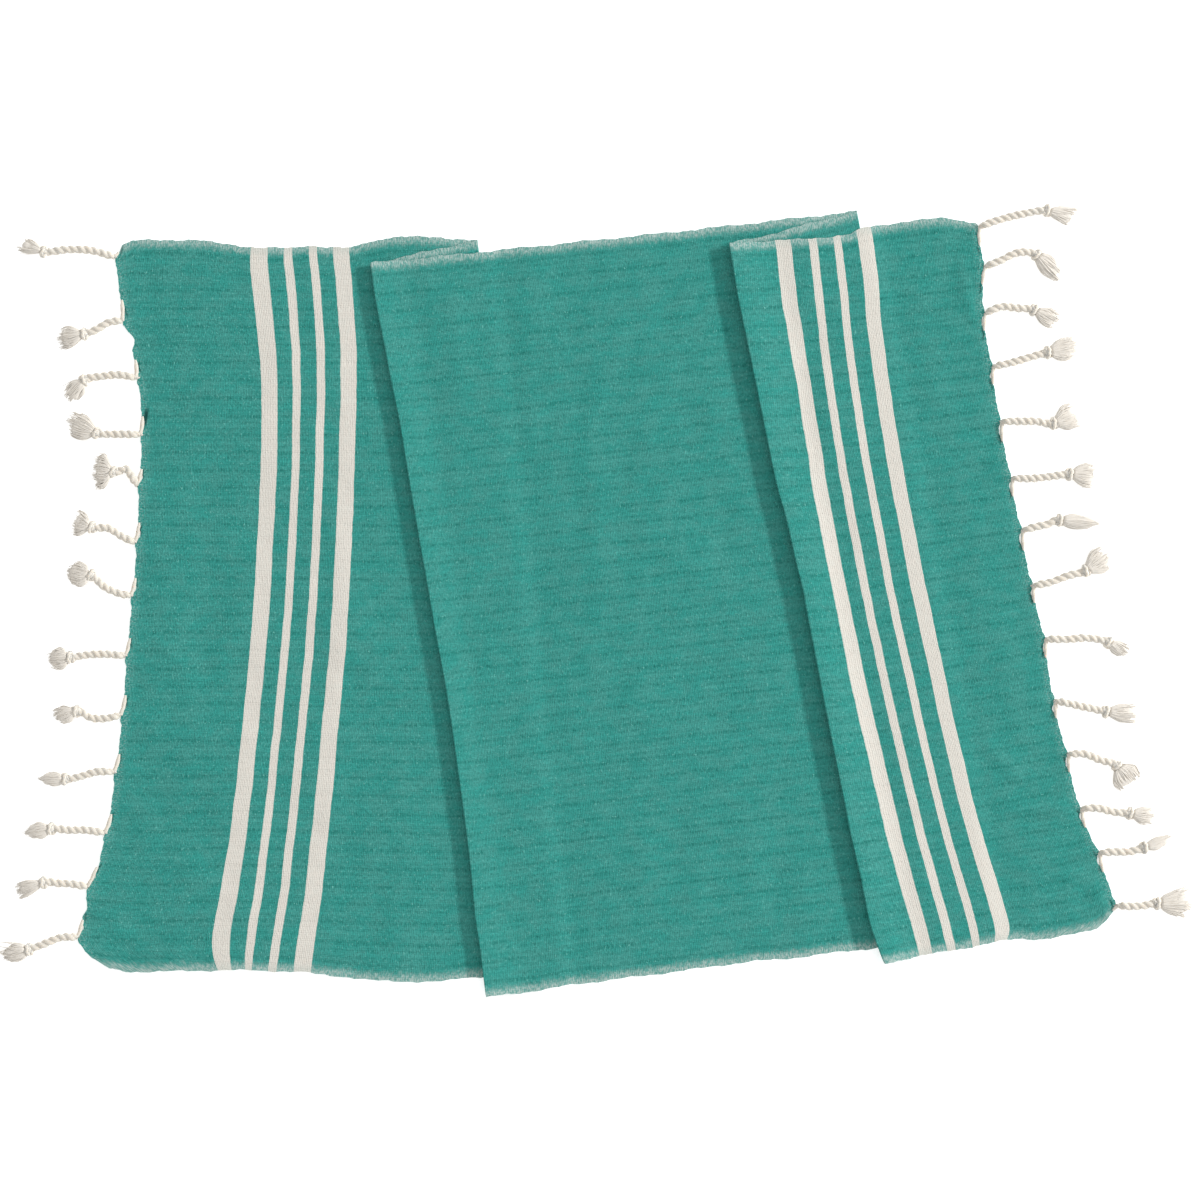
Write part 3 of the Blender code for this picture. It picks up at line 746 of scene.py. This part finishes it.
    # single wrinkles and fold marks
    marks = np.zeros_like(x)
    top_2 = (panel_at == 2)[:, None] * rise((right_of(1, xy) - 0.02) / 0.03) * rise((-right_of(2, xy) - 0.01) / 0.03)
    for x0, y0, x1, y1, high, wide in (
        (452, 262, 462, 440, 1.5, 13), (517, 250, 535, 480, 1.2, 14), (590, 262, 600, 760, 1.0, 12),
        (640, 300, 655, 800, 0.9, 30), (748, 800, 752, 940, 1.1, 14), (556, 860, 566, 985, 0.9, 9),
        (700, 480, 690, 700, 0.7, 30),
    ):
        marks += top_2 * ridge(xy, *px(x0, y0), *px(x1, y1), high / 1000, wide * 0.0013)
    free_0 = (panel_at == 0)[:, None] * rise((-right_of(0, xy) - 0.01) / 0.05)
    for x0, y0, x1, y1, high, wide in (
        (140, 574, 262, 538, 1.5, 7), (138, 382, 250, 396, 1.3, 8), (126, 728, 240, 742, 1.3, 8),
        (150, 640, 185, 662, 1.2, 7), (130, 330, 240, 318, 0.8, 9), (108, 868, 240, 862, 0.8, 9),
        (105, 920, 150, 950, 1.0, 8), (146, 470, 240, 452, 0.7, 10), (120, 800, 220, 812, 0.7, 9),
    ):
        marks += free_0 * ridge(xy, *px(x0, y0), *px(x1, y1), high / 800, wide * 0.0011)
    free_4 = (panel_at == 4)[:, None] * rise((right_of(3, xy) - 0.02) / 0.05)
    for x0, y0, x1, y1, high, wide in (
        (958, 250, 972, 330, 1.4, 8), (990, 808, 1085, 812, 1.6, 8), (975, 735, 1030, 790, 1.2, 9),
        (930, 410, 1000, 420, 0.9, 9), (1010, 870, 1100, 880, 1.2, 9), (940, 590, 1030, 600, 0.7, 10),
        (985, 690, 1056, 704, 1.0, 8), (925, 500, 1010, 478, 0.8, 9), (1090, 880, 1112, 925, 1.2, 8),
    ):
        marks += free_4 * ridge(xy, *px(x0, y0), *px(x1, y1), high / 800, wide * 0.0011)
    # each tassel gathers the hem into a short pucker
    for rows, hem, k in ((TASSELS_LEFT, HEM_LEFT, 0), (TASSELS_RIGHT, HEM_RIGHT, 4)):
        mask = (panel_at == k)[:, None]
        for i, r in enumerate(rows):
            here, along, out = hem_frame(hem, r[0] / 1000.0, k)
            side = 1.0 if k == 0 else -1.0
            for off, dirn, high, wide in ((0.000, 0.3, 1.9, 0.0042), (0.013, -0.2, 1.1, 0.0050), (-0.011, 0.5, 0.8, 0.0055)):
                a = here + along * off * side + out * 0.006
                way = -out + along * dirn * side * 0.5
                b = here + along * off * side + way * (0.030 + 0.010 * math.sin(i * 2.3 + off * 90))
                w = xy - a
                d = (b - a) / np.linalg.norm(b - a)
                s, o = w @ d / np.linalg.norm(b - a), w @ np.array([-d[1], d[0]])
                marks += mask * high / 1000 * np.exp(-((o / wide) ** 2)) * rise((s + 0.15) / 0.2) * ease(s)
            # and the cloth dips into the gap beside the root
            gap = here + along * 0.009 * side - out * 0.004
            marks += mask * -0.0004 * np.exp(-(((xy - gap) ** 2).sum(-1)) / 0.005**2)
    lift = shared + marks
    # crinkle of the weave: rows that run along the towel
    v = flat[..., 1]
    vv = v + 0.0018 * waves(flat[..., 0], v, 31, 0.05, 0.4, 10)
    crinkle = 0.00010 * np.sin(vv * math.tau / 0.0236) + 0.00007 * np.sin(vv * math.tau / 0.00787 + 1.2)
    crinkle = crinkle + 0.00006 * waves(flat[..., 0], v * 2.2, 41, 0.010, 0.030, 16)
    in_fold = np.array([s[2] is not None for s in stations])[:, None]
    crinkle = crinkle * np.where(in_fold, 0.0, 1.0) * rise(near / 0.012)
    up = np.where((panel_at == 1) | (panel_at == 3), 1.0, 1.0)[:, None]
    place[..., 2] += np.maximum(lift, 0.0) + np.maximum(crinkle + 0.00012, 0.0) * up * rise(near / 0.012)
    # normals over the whole surface, folds included
    di = np.gradient(place, axis=0)
    dj = np.gradient(place, axis=1)
    normal = np.cross(di, dj)
    normal /= np.maximum(np.linalg.norm(normal, axis=-1, keepdims=True), 1e-12)

    # texture place: stripes lie at constant w, rows at constant v
    u, v = flat[..., 0].copy(), flat[..., 1]
    for i0, i1 in [(pieces[j][1], pieces[j + 1][1]) for j in range(len(pieces) - 1) if pieces[j + 1][0].startswith("fold")]:
        seg = np.linalg.norm(np.diff(place[i0 : i1 + 1], axis=0), axis=-1)
        run = np.concatenate([np.zeros((1, ROWS)), np.cumsum(seg, axis=0)])
        run /= run[-1:]
        u[i0 : i1 + 1] = u[i0] + (u[i1] - u[i0]) * run
    hl, gl, gr, hr = through(HEM_LEFT, v), through(GROUP_LEFT, v), through(GROUP_RIGHT, v), through(HEM_RIGHT, v)
    w = np.where(
        u < gl,
        (u - hl) / (gl - hl) * AT_LEFT,
        np.where(u < gr, AT_LEFT + (u - gl) / (gr - gl) * (AT_RIGHT - AT_LEFT), AT_RIGHT + (u - gr) / (hr - gr) * (LENGTH - AT_RIGHT)),
    )
    tex = np.stack([w, np.broadcast_to((t - 0.5) * CLOTH_WIDTH, w.shape)], -1)
    return place, normal, tex, pieces


def cloth_piece(name, place, normal, tex, i0, i1):
    """Columns i0 to i1 of the surface as a closed sheet of thickness T."""
    p, n, q = place[i0 : i1 + 1], normal[i0 : i1 + 1], tex[i0 : i1 + 1]
    a, b = p.shape[:2]
    # the edges are a little thinner, so that they look pressed and not cut
    thick = np.full((a, b), T / 2)
    thick[:, [0, -1]] *= 0.6
    upper = p + n * thick[..., None]
    lower = p - n * thick[..., None]
    upper[..., 2] = np.maximum(upper[..., 2], 0.00005)
    lower[..., 2] = np.maximum(lower[..., 2], 0.00005)
    verts = np.concatenate([upper.reshape(-1, 3), lower.reshape(-1, 3)])
    uv = np.concatenate([q.reshape(-1, 2)] * 2)
    idx = np.arange(a * b).reshape(a, b)
    off = a * b
    top = np.stack([idx[:-1, :-1], idx[1:, :-1], idx[1:, 1:], idx[:-1, 1:]], -1).reshape(-1, 4)
    bottom = top[:, ::-1] + off
    walls = []
    for ring, flip in ((idx[:, 0], False), (idx[:, -1], True), (idx[0, :], True), (idx[-1, :], False)):
        w = np.stack([ring[:-1], ring[:-1] + off, ring[1:] + off, ring[1:]], -1)
        walls.append(w[:, ::-1] if flip else w)
    walls = np.concatenate(walls)
    faces = np.concatenate([top, bottom, walls])
    nn = n.reshape(-1, 3)
    loop = np.concatenate([nn[top.ravel()], -nn[top[:, ::-1].ravel()]])
    e1 = verts[walls[:, 1]] - verts[walls[:, 0]]
    e2 = verts[walls[:, 2]] - verts[walls[:, 0]]
    wn = np.cross(e1, e2)
    wn /= np.maximum(np.linalg.norm(wn, axis=1, keepdims=True), 1e-12)
    loop = np.concatenate([loop, np.repeat(wn, 4, axis=0)])
    return make_mesh(name, verts, [faces], CLOTH, uv, loop)


place, normal, tex, marks = build_surface()
cloth = {}
start = 0
for label, end in marks:
    cloth[label] = cloth_piece("cloth_" + label, place, normal, tex, start, end)
    start = end

for label, body in (
    ("left_end", "left_end_panel"),
    ("left_return", "left_pleat_return"),
    ("middle", "middle_panel"),
    ("right_return", "right_pleat_return"),
    ("right_end", "right_end_panel"),
):
    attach(cloth[label], body)
    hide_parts(body)
for label, a, b, z0, z1 in (
    ("fold_1", "left_end_panel", "left_pleat_return", 0.00115, 0.00155),
    ("fold_2", "left_pleat_return", "middle_panel", float(under(1, HIGH_SEAM)) + 0.0012, float(over(1, HIGH_SEAM)) - 0.0007),
    ("fold_3", "middle_panel", "right_pleat_return", 0.00115, 0.00155),
    ("fold_4", "right_pleat_return", "right_end_panel", float(under(3, HIGH_SEAM)) + 0.0012, float(over(3, HIGH_SEAM)) - 0.0007),
):
    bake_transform(cloth[label])


# ----------------------------------------------------------------- the tassels
def tube(line, radius, sides, shape=None, uv_turn=0.0, close=True):
    """Rings along a line. radius: one per ring; shape(ring, angles) scales it."""
    line = np.asarray(line, float)
    n = len(line)
    d = np.gradient(line, axis=0)
    d /= np.maximum(np.linalg.norm(d, axis=1, keepdims=True), 1e-12)
    up = np.array([0.0, 0.0, 1.0])
    side = np.cross(up, d)
    weak = np.linalg.norm(side, axis=1) < 0.15
    if weak.any():  # a line that climbs: carry the frame along it instead
        ref = np.array([0.0, 1.0, 0.0]) if abs(d[0, 1]) < 0.9 else np.array([1.0, 0.0, 0.0])
        s = np.cross(ref, d[0])
        s /= np.linalg.norm(s)
        side = np.zeros_like(d)
        for i in range(n):
            s = s - (s @ d[i]) * d[i]
            s /= np.linalg.norm(s)
            side[i] = s
    side /= np.linalg.norm(side, axis=1, keepdims=True)
    top = np.cross(d, side)
    q = np.arange(sides) * math.tau / sides
    r = np.broadcast_to(np.asarray(radius, float).reshape(-1, 1), (n, sides)).copy()
    if shape is not None:
        r *= shape(np.arange(n)[:, None], q[None, :])
    ring = (
        line[:, None]
        + side[:, None] * (r * np.cos(q))[..., None]
        + top[:, None] * (r * np.sin(q))[..., None]
    )
    along = np.concatenate([[0], np.cumsum(np.linalg.norm(np.diff(line, axis=0), axis=1))])
    uv = np.stack(
        [np.broadcast_to(along[:, None], (n, sides)), np.broadcast_to(q * float(np.mean(radius)), (n, sides)) + uv_turn * along[:, None]], -1
    )
    idx = np.arange(n * sides).reshape(n, sides)
    nxt = np.roll(idx, -1, axis=1)
    quads = np.stack([idx[:-1], nxt[:-1], nxt[1:], idx[1:]], -1).reshape(-1, 4)
    verts, tris = ring.reshape(-1, 3), np.zeros((0, 3), int)
    uv = uv.reshape(-1, 2)
    if close:
        verts = np.concatenate([verts, line[:1], line[-1:]])
        uv = np.concatenate([uv, uv[:1], uv[-1:]])
        a, b = n * sides, n * sides + 1
        tris = np.concatenate(
            [
                np.stack([np.full(sides, a), nxt[0], idx[0]], -1),
                np.stack([np.full(sides, b), idx[-1], nxt[-1]], -1),
            ]
        )
    return verts, quads, tris, uv


def joined(parts):
    verts, quads, tris, uvs, base = [], [], [], [], 0
    for v, q, t, uv in parts:
        verts.append(v)
        quads.append(q + base)
        tris.append(t + base)
        uvs.append(uv)
        base += len(v)
    return np.concatenate(verts), np.concatenate(quads), np.concatenate(tris), np.concatenate(uvs)


def two_ply(pitch, step, turn=0.0, offset=0.36, ply=0.64, yarns=0.022):
    """Outline of two plies twisted together, as a share of the cord's radius."""

    def shape(i, q):
        phi = turn + i * step * math.tau / pitch
        rel = q - phi
        out = []
        for k in (0.0, math.pi):
            c, s = np.cos(rel - k), np.sin(rel - k)
            root = np.maximum(ply**2 - (offset * s) ** 2, 1e-6)
            out.append(offset * c + np.sqrt(root))
        r = np.maximum(*out)
        return r + yarns * np.cos(9 * q + 14 * phi) + 0.6 * yarns * np.cos(17 * q - 9 * phi + 1.3)

    return shape


def add_piece(name, parts, mat, body):
    v, q, t, uv = joined(parts)
    v[:, 2] = np.maximum(v[:, 2], 0.00012)
    obj = make_mesh(name, v, [q, t] if len(t) else [q], mat, uv)
    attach(obj, body)
    return obj


# How each brush has come to lie, in order from the back of its hem.
STYLE_LEFT = ("split", "fan", "tuft", "split", "ball_up", "fan", "ball", "ball", "tuft", "spindle", "spindle", "split", "ball_tail")
STYLE_RIGHT = ("fan", "long", "tuft", "tuft", "fan", "fan", "spindle", "fan", "tuft", "tuft", "tuft", "tuft", "slim", "wide")
# Brushes that lie otherwise than the part's plain solid: heading, length, width, style.
LAID = {
    "tassel_left_05": (2.0, 0.026, 0.043, "tuft"),
    "tassel_left_07": (6.0, 0.030, 0.029, "ball"),
    "tassel_left_04": (20.0, 0.040, 0.031, "tuft"),
    "tassel_right_01": (-14.0, 0.040, 0.024, "wide"),
    "tassel_right_02": (-42.0, 0.044, 0.025, "slim"),
    "tassel_right_04": (12.0, 0.040, 0.027, "tuft"),
    "tassel_right_11": (-50.0, 0.034, 0.034, "tuft"),
}
CORD_D = 0.0094


def outline(style, s):
    """Half the width of a brush along its length, as a share of its widest."""
    if style == "wide":
        return 0.26 + 0.74 * s**0.62
    if style in ("fan", "split"):
        return 0.36 + 0.64 * np.sin(np.clip(s * 1.45, 0, 1) * math.pi / 2)
    if style == "long":
        return 0.40 + 0.60 * s
    if style == "slim":
        return (0.48 + 0.52 * np.sin(np.clip(s * 1.7, 0, 1) * math.pi / 2)) * (1 - 0.40 * s**2)
    if style == "spindle":
        return np.sin(math.pi * (0.14 + 0.78 * s)) ** 0.8
    if style in ("ball", "ball_tail"):
        return np.sin(math.pi * (0.12 + 0.76 * s)) ** 0.55
    return (0.42 + 0.58 * np.sin(np.clip(s * 1.7, 0, 1) * math.pi / 2)) * (1 - 0.12 * s**3)


def brush_parts(r, knot, way, length, width, style):
    """A soft core under some sixty strands that leave the knot and fray."""
    left = np.array([-way[1], way[0]])
    half, length = width * 0.56, length * 1.06
    clumps = {"fan": 5, "wide": 7, "split": 3, "long": 4, "slim": 2, "spindle": 1}.get(style, 4)
    at = np.linspace(-0.86, 0.86, clumps) + (r.random(clumps) - 0.5) * 0.22 if clumps > 1 else np.array([0.0])
    reach = 1.0 - 0.24 * r.random(clumps)
    base = 0.0020

    def hump(s):
        """How far the strands stand above the middle of the brush."""
        return 0.0011 + 0.0036 * np.sin(np.clip(0.30 + s * 0.60, 0, 1) * math.pi) ** 0.6

    def middle(s):
        return 0.0054 - 0.0010 * s - 0.0018 * s**4

    def spot(run, lat, z):
        return np.stack([knot[0] + way[0] * (base + run) + left[0] * lat, knot[1] + way[1] * (base + run) + left[1] * lat, np.maximum(z, 0.0006)], 1)

    parts = []
    s = np.linspace(0, 1, 16)
    deep = 0.72 if style not in ("ball", "ball_tail", "spindle") else 0.84
    wide = np.maximum(half * outline(style, s * deep) * 0.86, 0.0016)
    wide[-3:] *= (0.86, 0.62, 0.30)
    tall = np.minimum(hump(s * deep) * 0.84, middle(s * deep) - 0.0003)
    tall[-3:] *= (0.92, 0.75, 0.5)
    wob = r.random() * 6

    def oval(i, q):
        e = wide[i] * tall[i] / np.sqrt((tall[i] * np.cos(q)) ** 2 + (wide[i] * np.sin(q)) ** 2)
        return e * (1 + 0.05 * np.sin(7 * q + i * 0.3 + wob) + 0.04 * np.sin(13 * q - i * 0.2 + 2 * wob))

    parts.append(tube(spot(length * deep * s, 0 * s, middle(s * deep)), np.ones(16), 28, oval))
    top = int(26 + 900 * width)
    low = 26
    k = 10
    s = np.linspace(0, 1, k)
    for i in range(top + low + 12):
        stray = i >= top + low
        a = (2 * ((i + 0.2 + 0.6 * r.random()) / top) - 1) if i < top else r.random() * 2 - 1
        c = int(np.argmin(np.abs(at - a + (r.random() - 0.5) * 0.12)))
        bend = (r.random() - 0.5) * 0.26 * s**1.5 + 0.03 * np.sin(s * (5 + 4 * r.random()) + 6 * r.random())
        if stray:
            bend = (r.random() - 0.5) * 1.2 * s**2
        pull = 0.16 + 0.26 * (clumps > 1)
        across = a + (at[c] - a) * pull * s**2 + bend
        lat = half * across * outline(style, s)
        if i < top:
            up = hump(s) * np.sqrt(np.maximum(0.04, 1 - np.minimum(abs(a), 1) ** 2)) * (0.86 + 0.30 * r.random())
        else:
            up = hump(s) * (r.random() * 1.1 - 0.45) * (1 - 0.3 * s)
        far = length * reach[c] * (0.84 + 0.20 * r.random())
        if style in ("ball", "ball_tail", "spindle"):
            far = length * (1.0 - 0.22 * a * a) * (0.92 + 0.10 * r.random())
        else:
            far *= 1.0 - 0.10 * a * a
        if stray:
            far *= 1.0 + 0.10 * r.random()
        if style == "ball_tail" and i % 9 == 4:
            lat = lat - half * 0.9 * s**2
            far *= 1.25
        if style == "split" and c == 1:
            far *= 0.88
        z = middle(s) + up
        rad = (0.00066 if not stray else 0.00040) * (0.85 + 0.35 * r.random()) * (1 - 0.50 * s**2)
        parts.append(tube(spot((far - base) * s, lat, z), rad, 5))
    return parts


def knot_parts(r, knot, came, way):
    """An overhand knot pulled down: the cord's own trefoil, small and tight."""
    step = 0.0006
    t = np.linspace(0, math.tau, 90, endpoint=False)
    x = np.sin(t) + 2 * np.sin(2 * t)
    y = np.cos(t) - 2 * np.cos(2 * t)
    z = -np.sin(3 * t)
    turn = r.random() * math.tau
    c, s = math.cos(turn), math.sin(turn)
    x, y = x * c - y * s, x * s + y * c
    along = came + way
    along = along / max(np.linalg.norm(along), 1e-9)
    left = np.array([-along[1], along[0]])
    a, b = x * 0.00165, y * 0.00200
    tilt = (r.random() - 0.5) * 0.9
    zz = z * 0.0015 + a * math.sin(tilt) * 0.7
    pts = np.stack([knot[0] + along[0] * a + left[0] * b, knot[1] + along[1] * a + left[1] * b, 0.0055 + zz], 1)
    pts = np.concatenate([pts, pts[:3]])
    fine, at = resampled(pts, step)
    shape = two_ply(0.016, step, r.random() * 6, 0.30, 0.70, 0.02)
    ring = tube(fine, np.full(len(fine), 0.0034), 18, shape)
    s = np.linspace(-1, 1, 13)
    core = np.stack([knot[0] + along[0] * s * 0.0062, knot[1] + along[1] * s * 0.0062, 0 * s + 0.0058], 1)
    heart = tube(core, 0.0056 * np.sqrt(np.maximum(1 - s**2, 0.03)), 20)
    # the cord's last turn, wrapped across the middle of the knot
    q = np.linspace(0, math.tau, 40)
    lean = 0.35 + 0.3 * r.random()
    px_, pz = 0.0058 * np.cos(q), 0.0044 * np.sin(q)
    wrap = np.stack(
        [
            knot[0] + along[0] * (px_ * 0.25 + pz * lean * 0.5) + left[0] * px_ * 1.02,
            knot[1] + along[1] * (px_ * 0.25 + pz * lean * 0.5) + left[1] * px_ * 1.02,
            0.0060 + pz,
        ],
        1,
    )
    fine2, _ = resampled(wrap, step)
    band = tube(fine2, np.full(len(fine2), 0.0027), 14, two_ply(0.013, step, 1.0, 0.28, 0.72, 0.02))
    return [ring, band, heart]


def tassel(name, row, hem, end_panel, style, seed):
    r = np.random.default_rng(seed)
    points, root, along, out, width = tassel_frame(row, hem, end_panel)
    plan = [catmull(points, i, t) for i in range(3) for t in np.linspace(0, 1, 14)[:-1]] + [points[3]]
    knot, tip = points[3], points[4]
    length = float(np.linalg.norm(tip - knot))
    way = (tip - knot) / length
    rope_run = float(np.sum(np.linalg.norm(np.diff(np.array(plan), axis=0), axis=1)))
    extra = min(length * 0.80, max(0.010, 0.0590 - rope_run))
    for s in np.linspace(0, 1, 8)[1:]:
        plan.append(knot + way * extra * s)
    plan = np.array(plan)
    gone = np.concatenate([[0], np.cumsum(np.linalg.norm(np.diff(plan, axis=0), axis=1))])
    z = ROOT_Z + (CORD_D / 2 + 0.0006 - ROOT_Z) * rise(gone / 0.008)
    line, at = resampled(np.column_stack([plan, z]), 0.0007)
    step = at[1] - at[0]
    radius = 0.0033 + (CORD_D / 2 * 1.12 - 0.0033) * rise(at / 0.008)
    radius = radius * (1 - 0.45 * rise((at - rope_run) / max(extra, 0.006)))
    radius = radius * (1 + 0.035 * np.sin(at * 180 + seed) + 0.025 * np.sin(at * 430 + 2 * seed))
    pitch = 0.0196 * (0.95 + 0.12 * r.random())
    rope = add_piece(name + "_cord", [tube(line, radius, 30, two_ply(pitch, step, r.random() * 6, 0.26, 0.74))], ROPE, name)
    came = plan[-9] - plan[-13]
    came = came / np.linalg.norm(came)
    lump = add_piece(name + "_knot", knot_parts(r, knot, came, way), KNOT_COTTON_LIGHTENED, name)
    side = -1.0 if end_panel == 0 else 1.0
    if name in LAID:
        heading, length, width, style = LAID[name]
        q = math.radians(heading)
        way = np.array([side * math.cos(q), math.sin(q)])
    brush = add_piece(name + "_brush", brush_parts(r, knot + way * 0.002, way, length - 0.002, width, style), BRUSH_COTTON_LIGHTENED, name)
    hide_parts(name)
    return rope


def root_yarns(rows, hem, end_panel, body, name):
    """The second bundle of warp ends of each tassel, which comes along the hem's
    edge to the root: from behind on the left hem and from the front on the right."""
    side = 1.0 if end_panel == 0 else -1.0
    parts = []
    for i, row in enumerate(rows):
        r = np.random.default_rng(500 + i + 40 * end_panel)
        _, root, along, out, _ = tassel_frame(row, hem, end_panel)
        corner = (i == 0 and end_panel == 0) or (i == len(rows) - 1 and end_panel == 4)
        run = (0.006 if corner else 0.022) + (0.002 if corner else 0.005) * r.random()
        v0 = row[0] / 1000.0
        at_root = hem_frame(hem, v0, end_panel)[0]
        pts = []
        for k in np.linspace(0, 1, 12):
            here, al, o = hem_frame(hem, v0 + side * run * (1 - k), end_panel)
            inward = 0.0030 * (1 - k**2)
            pts.append([*(here + (root - at_root) * k - o * inward), 0.0026 + (ROOT_Z - 0.0026) * k**3])
        line, at = resampled(pts, 0.0008)
        rad = 0.0016 + 0.0012 * rise(at / 0.006)
        rad = np.minimum(rad, line[:, 2] + 0.0004)
        parts.append(tube(line, rad, 16, two_ply(0.026, at[1], 0.4, 0.20, 0.80, 0.02)))
        # the ends leave the cloth's edge just under the root
        pts = [[*(root - out * 0.0060), 0.0013], [*(root - out * 0.0030), 0.0021], [*(root + out * 0.0004), 0.0031], [*(root + out * 0.0020), 0.0036]]
        line, at = resampled(pts, 0.0006)
        parts.append(tube(line, 0.0009 + 0.0011 * rise(at / 0.005), 14, two_ply(0.026, at[1], 1.4, 0.22, 0.78, 0.03)))
    return add_piece(name, parts, ROPE, body)


tassels = []
for side, rows, hem, k, styles in (("left", TASSELS_LEFT, HEM_LEFT, 0, STYLE_LEFT), ("right", TASSELS_RIGHT, HEM_RIGHT, 4, STYLE_RIGHT)):
    for i, row in enumerate(rows):
        tassels.append(tassel("tassel_%s_%02d" % (side, i + 1), row, hem, k, styles[i], 1000 * (k + 1) + i))
left_yarns = root_yarns(TASSELS_LEFT, HEM_LEFT, 0, "left_end_panel", "left_hem_yarns")
right_yarns = root_yarns(TASSELS_RIGHT, HEM_RIGHT, 4, "right_end_panel", "right_hem_yarns")


# ------------------------------------------------------- floor, light and lens
def floor_material():
    m = Nodes("pale_floor")
    n = m.noise(m.xyz(0.0, 0.0), 1.0)
    geo = m.nt.nodes.new("ShaderNodeTexCoord")
    soft = m.noise(geo.outputs["Object"], 1.3, 2.0)
    m.put(m.shader.inputs["Base Color"], m.mix(soft, (0.90, 0.90, 0.90, 1), (0.93, 0.93, 0.93, 1)))
    m.shader.inputs["Roughness"].default_value = 0.9
    m.shader.inputs["Specular IOR Level"].default_value = 0.1
    m.shader.inputs["Emission Color"].default_value = (1, 1, 1, 1)
    m.shader.inputs["Emission Strength"].default_value = 0.45
    m.nt.nodes.remove(n.node)
    return m.mat


half = 9.0
floor = make_mesh(
    "floor", np.array([[-half, -half, 0.0], [half, -half, 0.0], [half, half, 0.0], [-half, half, 0.0]]),
    [np.array([[0, 1, 2, 3]])], floor_material(),
)

world = bpy.data.worlds.new("studio")
world.use_nodes = True
world.node_tree.nodes["Background"].inputs[0].default_value = (1.0, 1.0, 1.0, 1.0)
world.node_tree.nodes["Background"].inputs[1].default_value = 0.73
scene.world = world


def area_light(name, at, target, size, size_y, power):
    data = bpy.data.lights.new(name, "AREA")
    data.shape, data.size, data.size_y, data.energy = "RECTANGLE", size, size_y, power
    obj = bpy.data.objects.new(name, data)
    obj.location = at
    obj.rotation_euler = (Vector(target) - Vector(at)).to_track_quat("-Z", "Y").to_euler()
    scene.collection.objects.link(obj)
    return obj


area_light("key", (13.6, 4.7, 6.7), (0, 0, 0), 3.6, 1.5, 2260.0)

camera_data = bpy.data.cameras.new("camera")
camera_data.lens, camera_data.sensor_width = 85.0, 36.0
camera = bpy.data.objects.new("camera", camera_data)
camera.location = (0.00345, 0.0024, 3.683)
camera.rotation_euler = (0.0, 0.0, 0.0)
scene.collection.objects.link(camera)
scene.camera = camera
scene.view_settings.view_transform = "Standard"
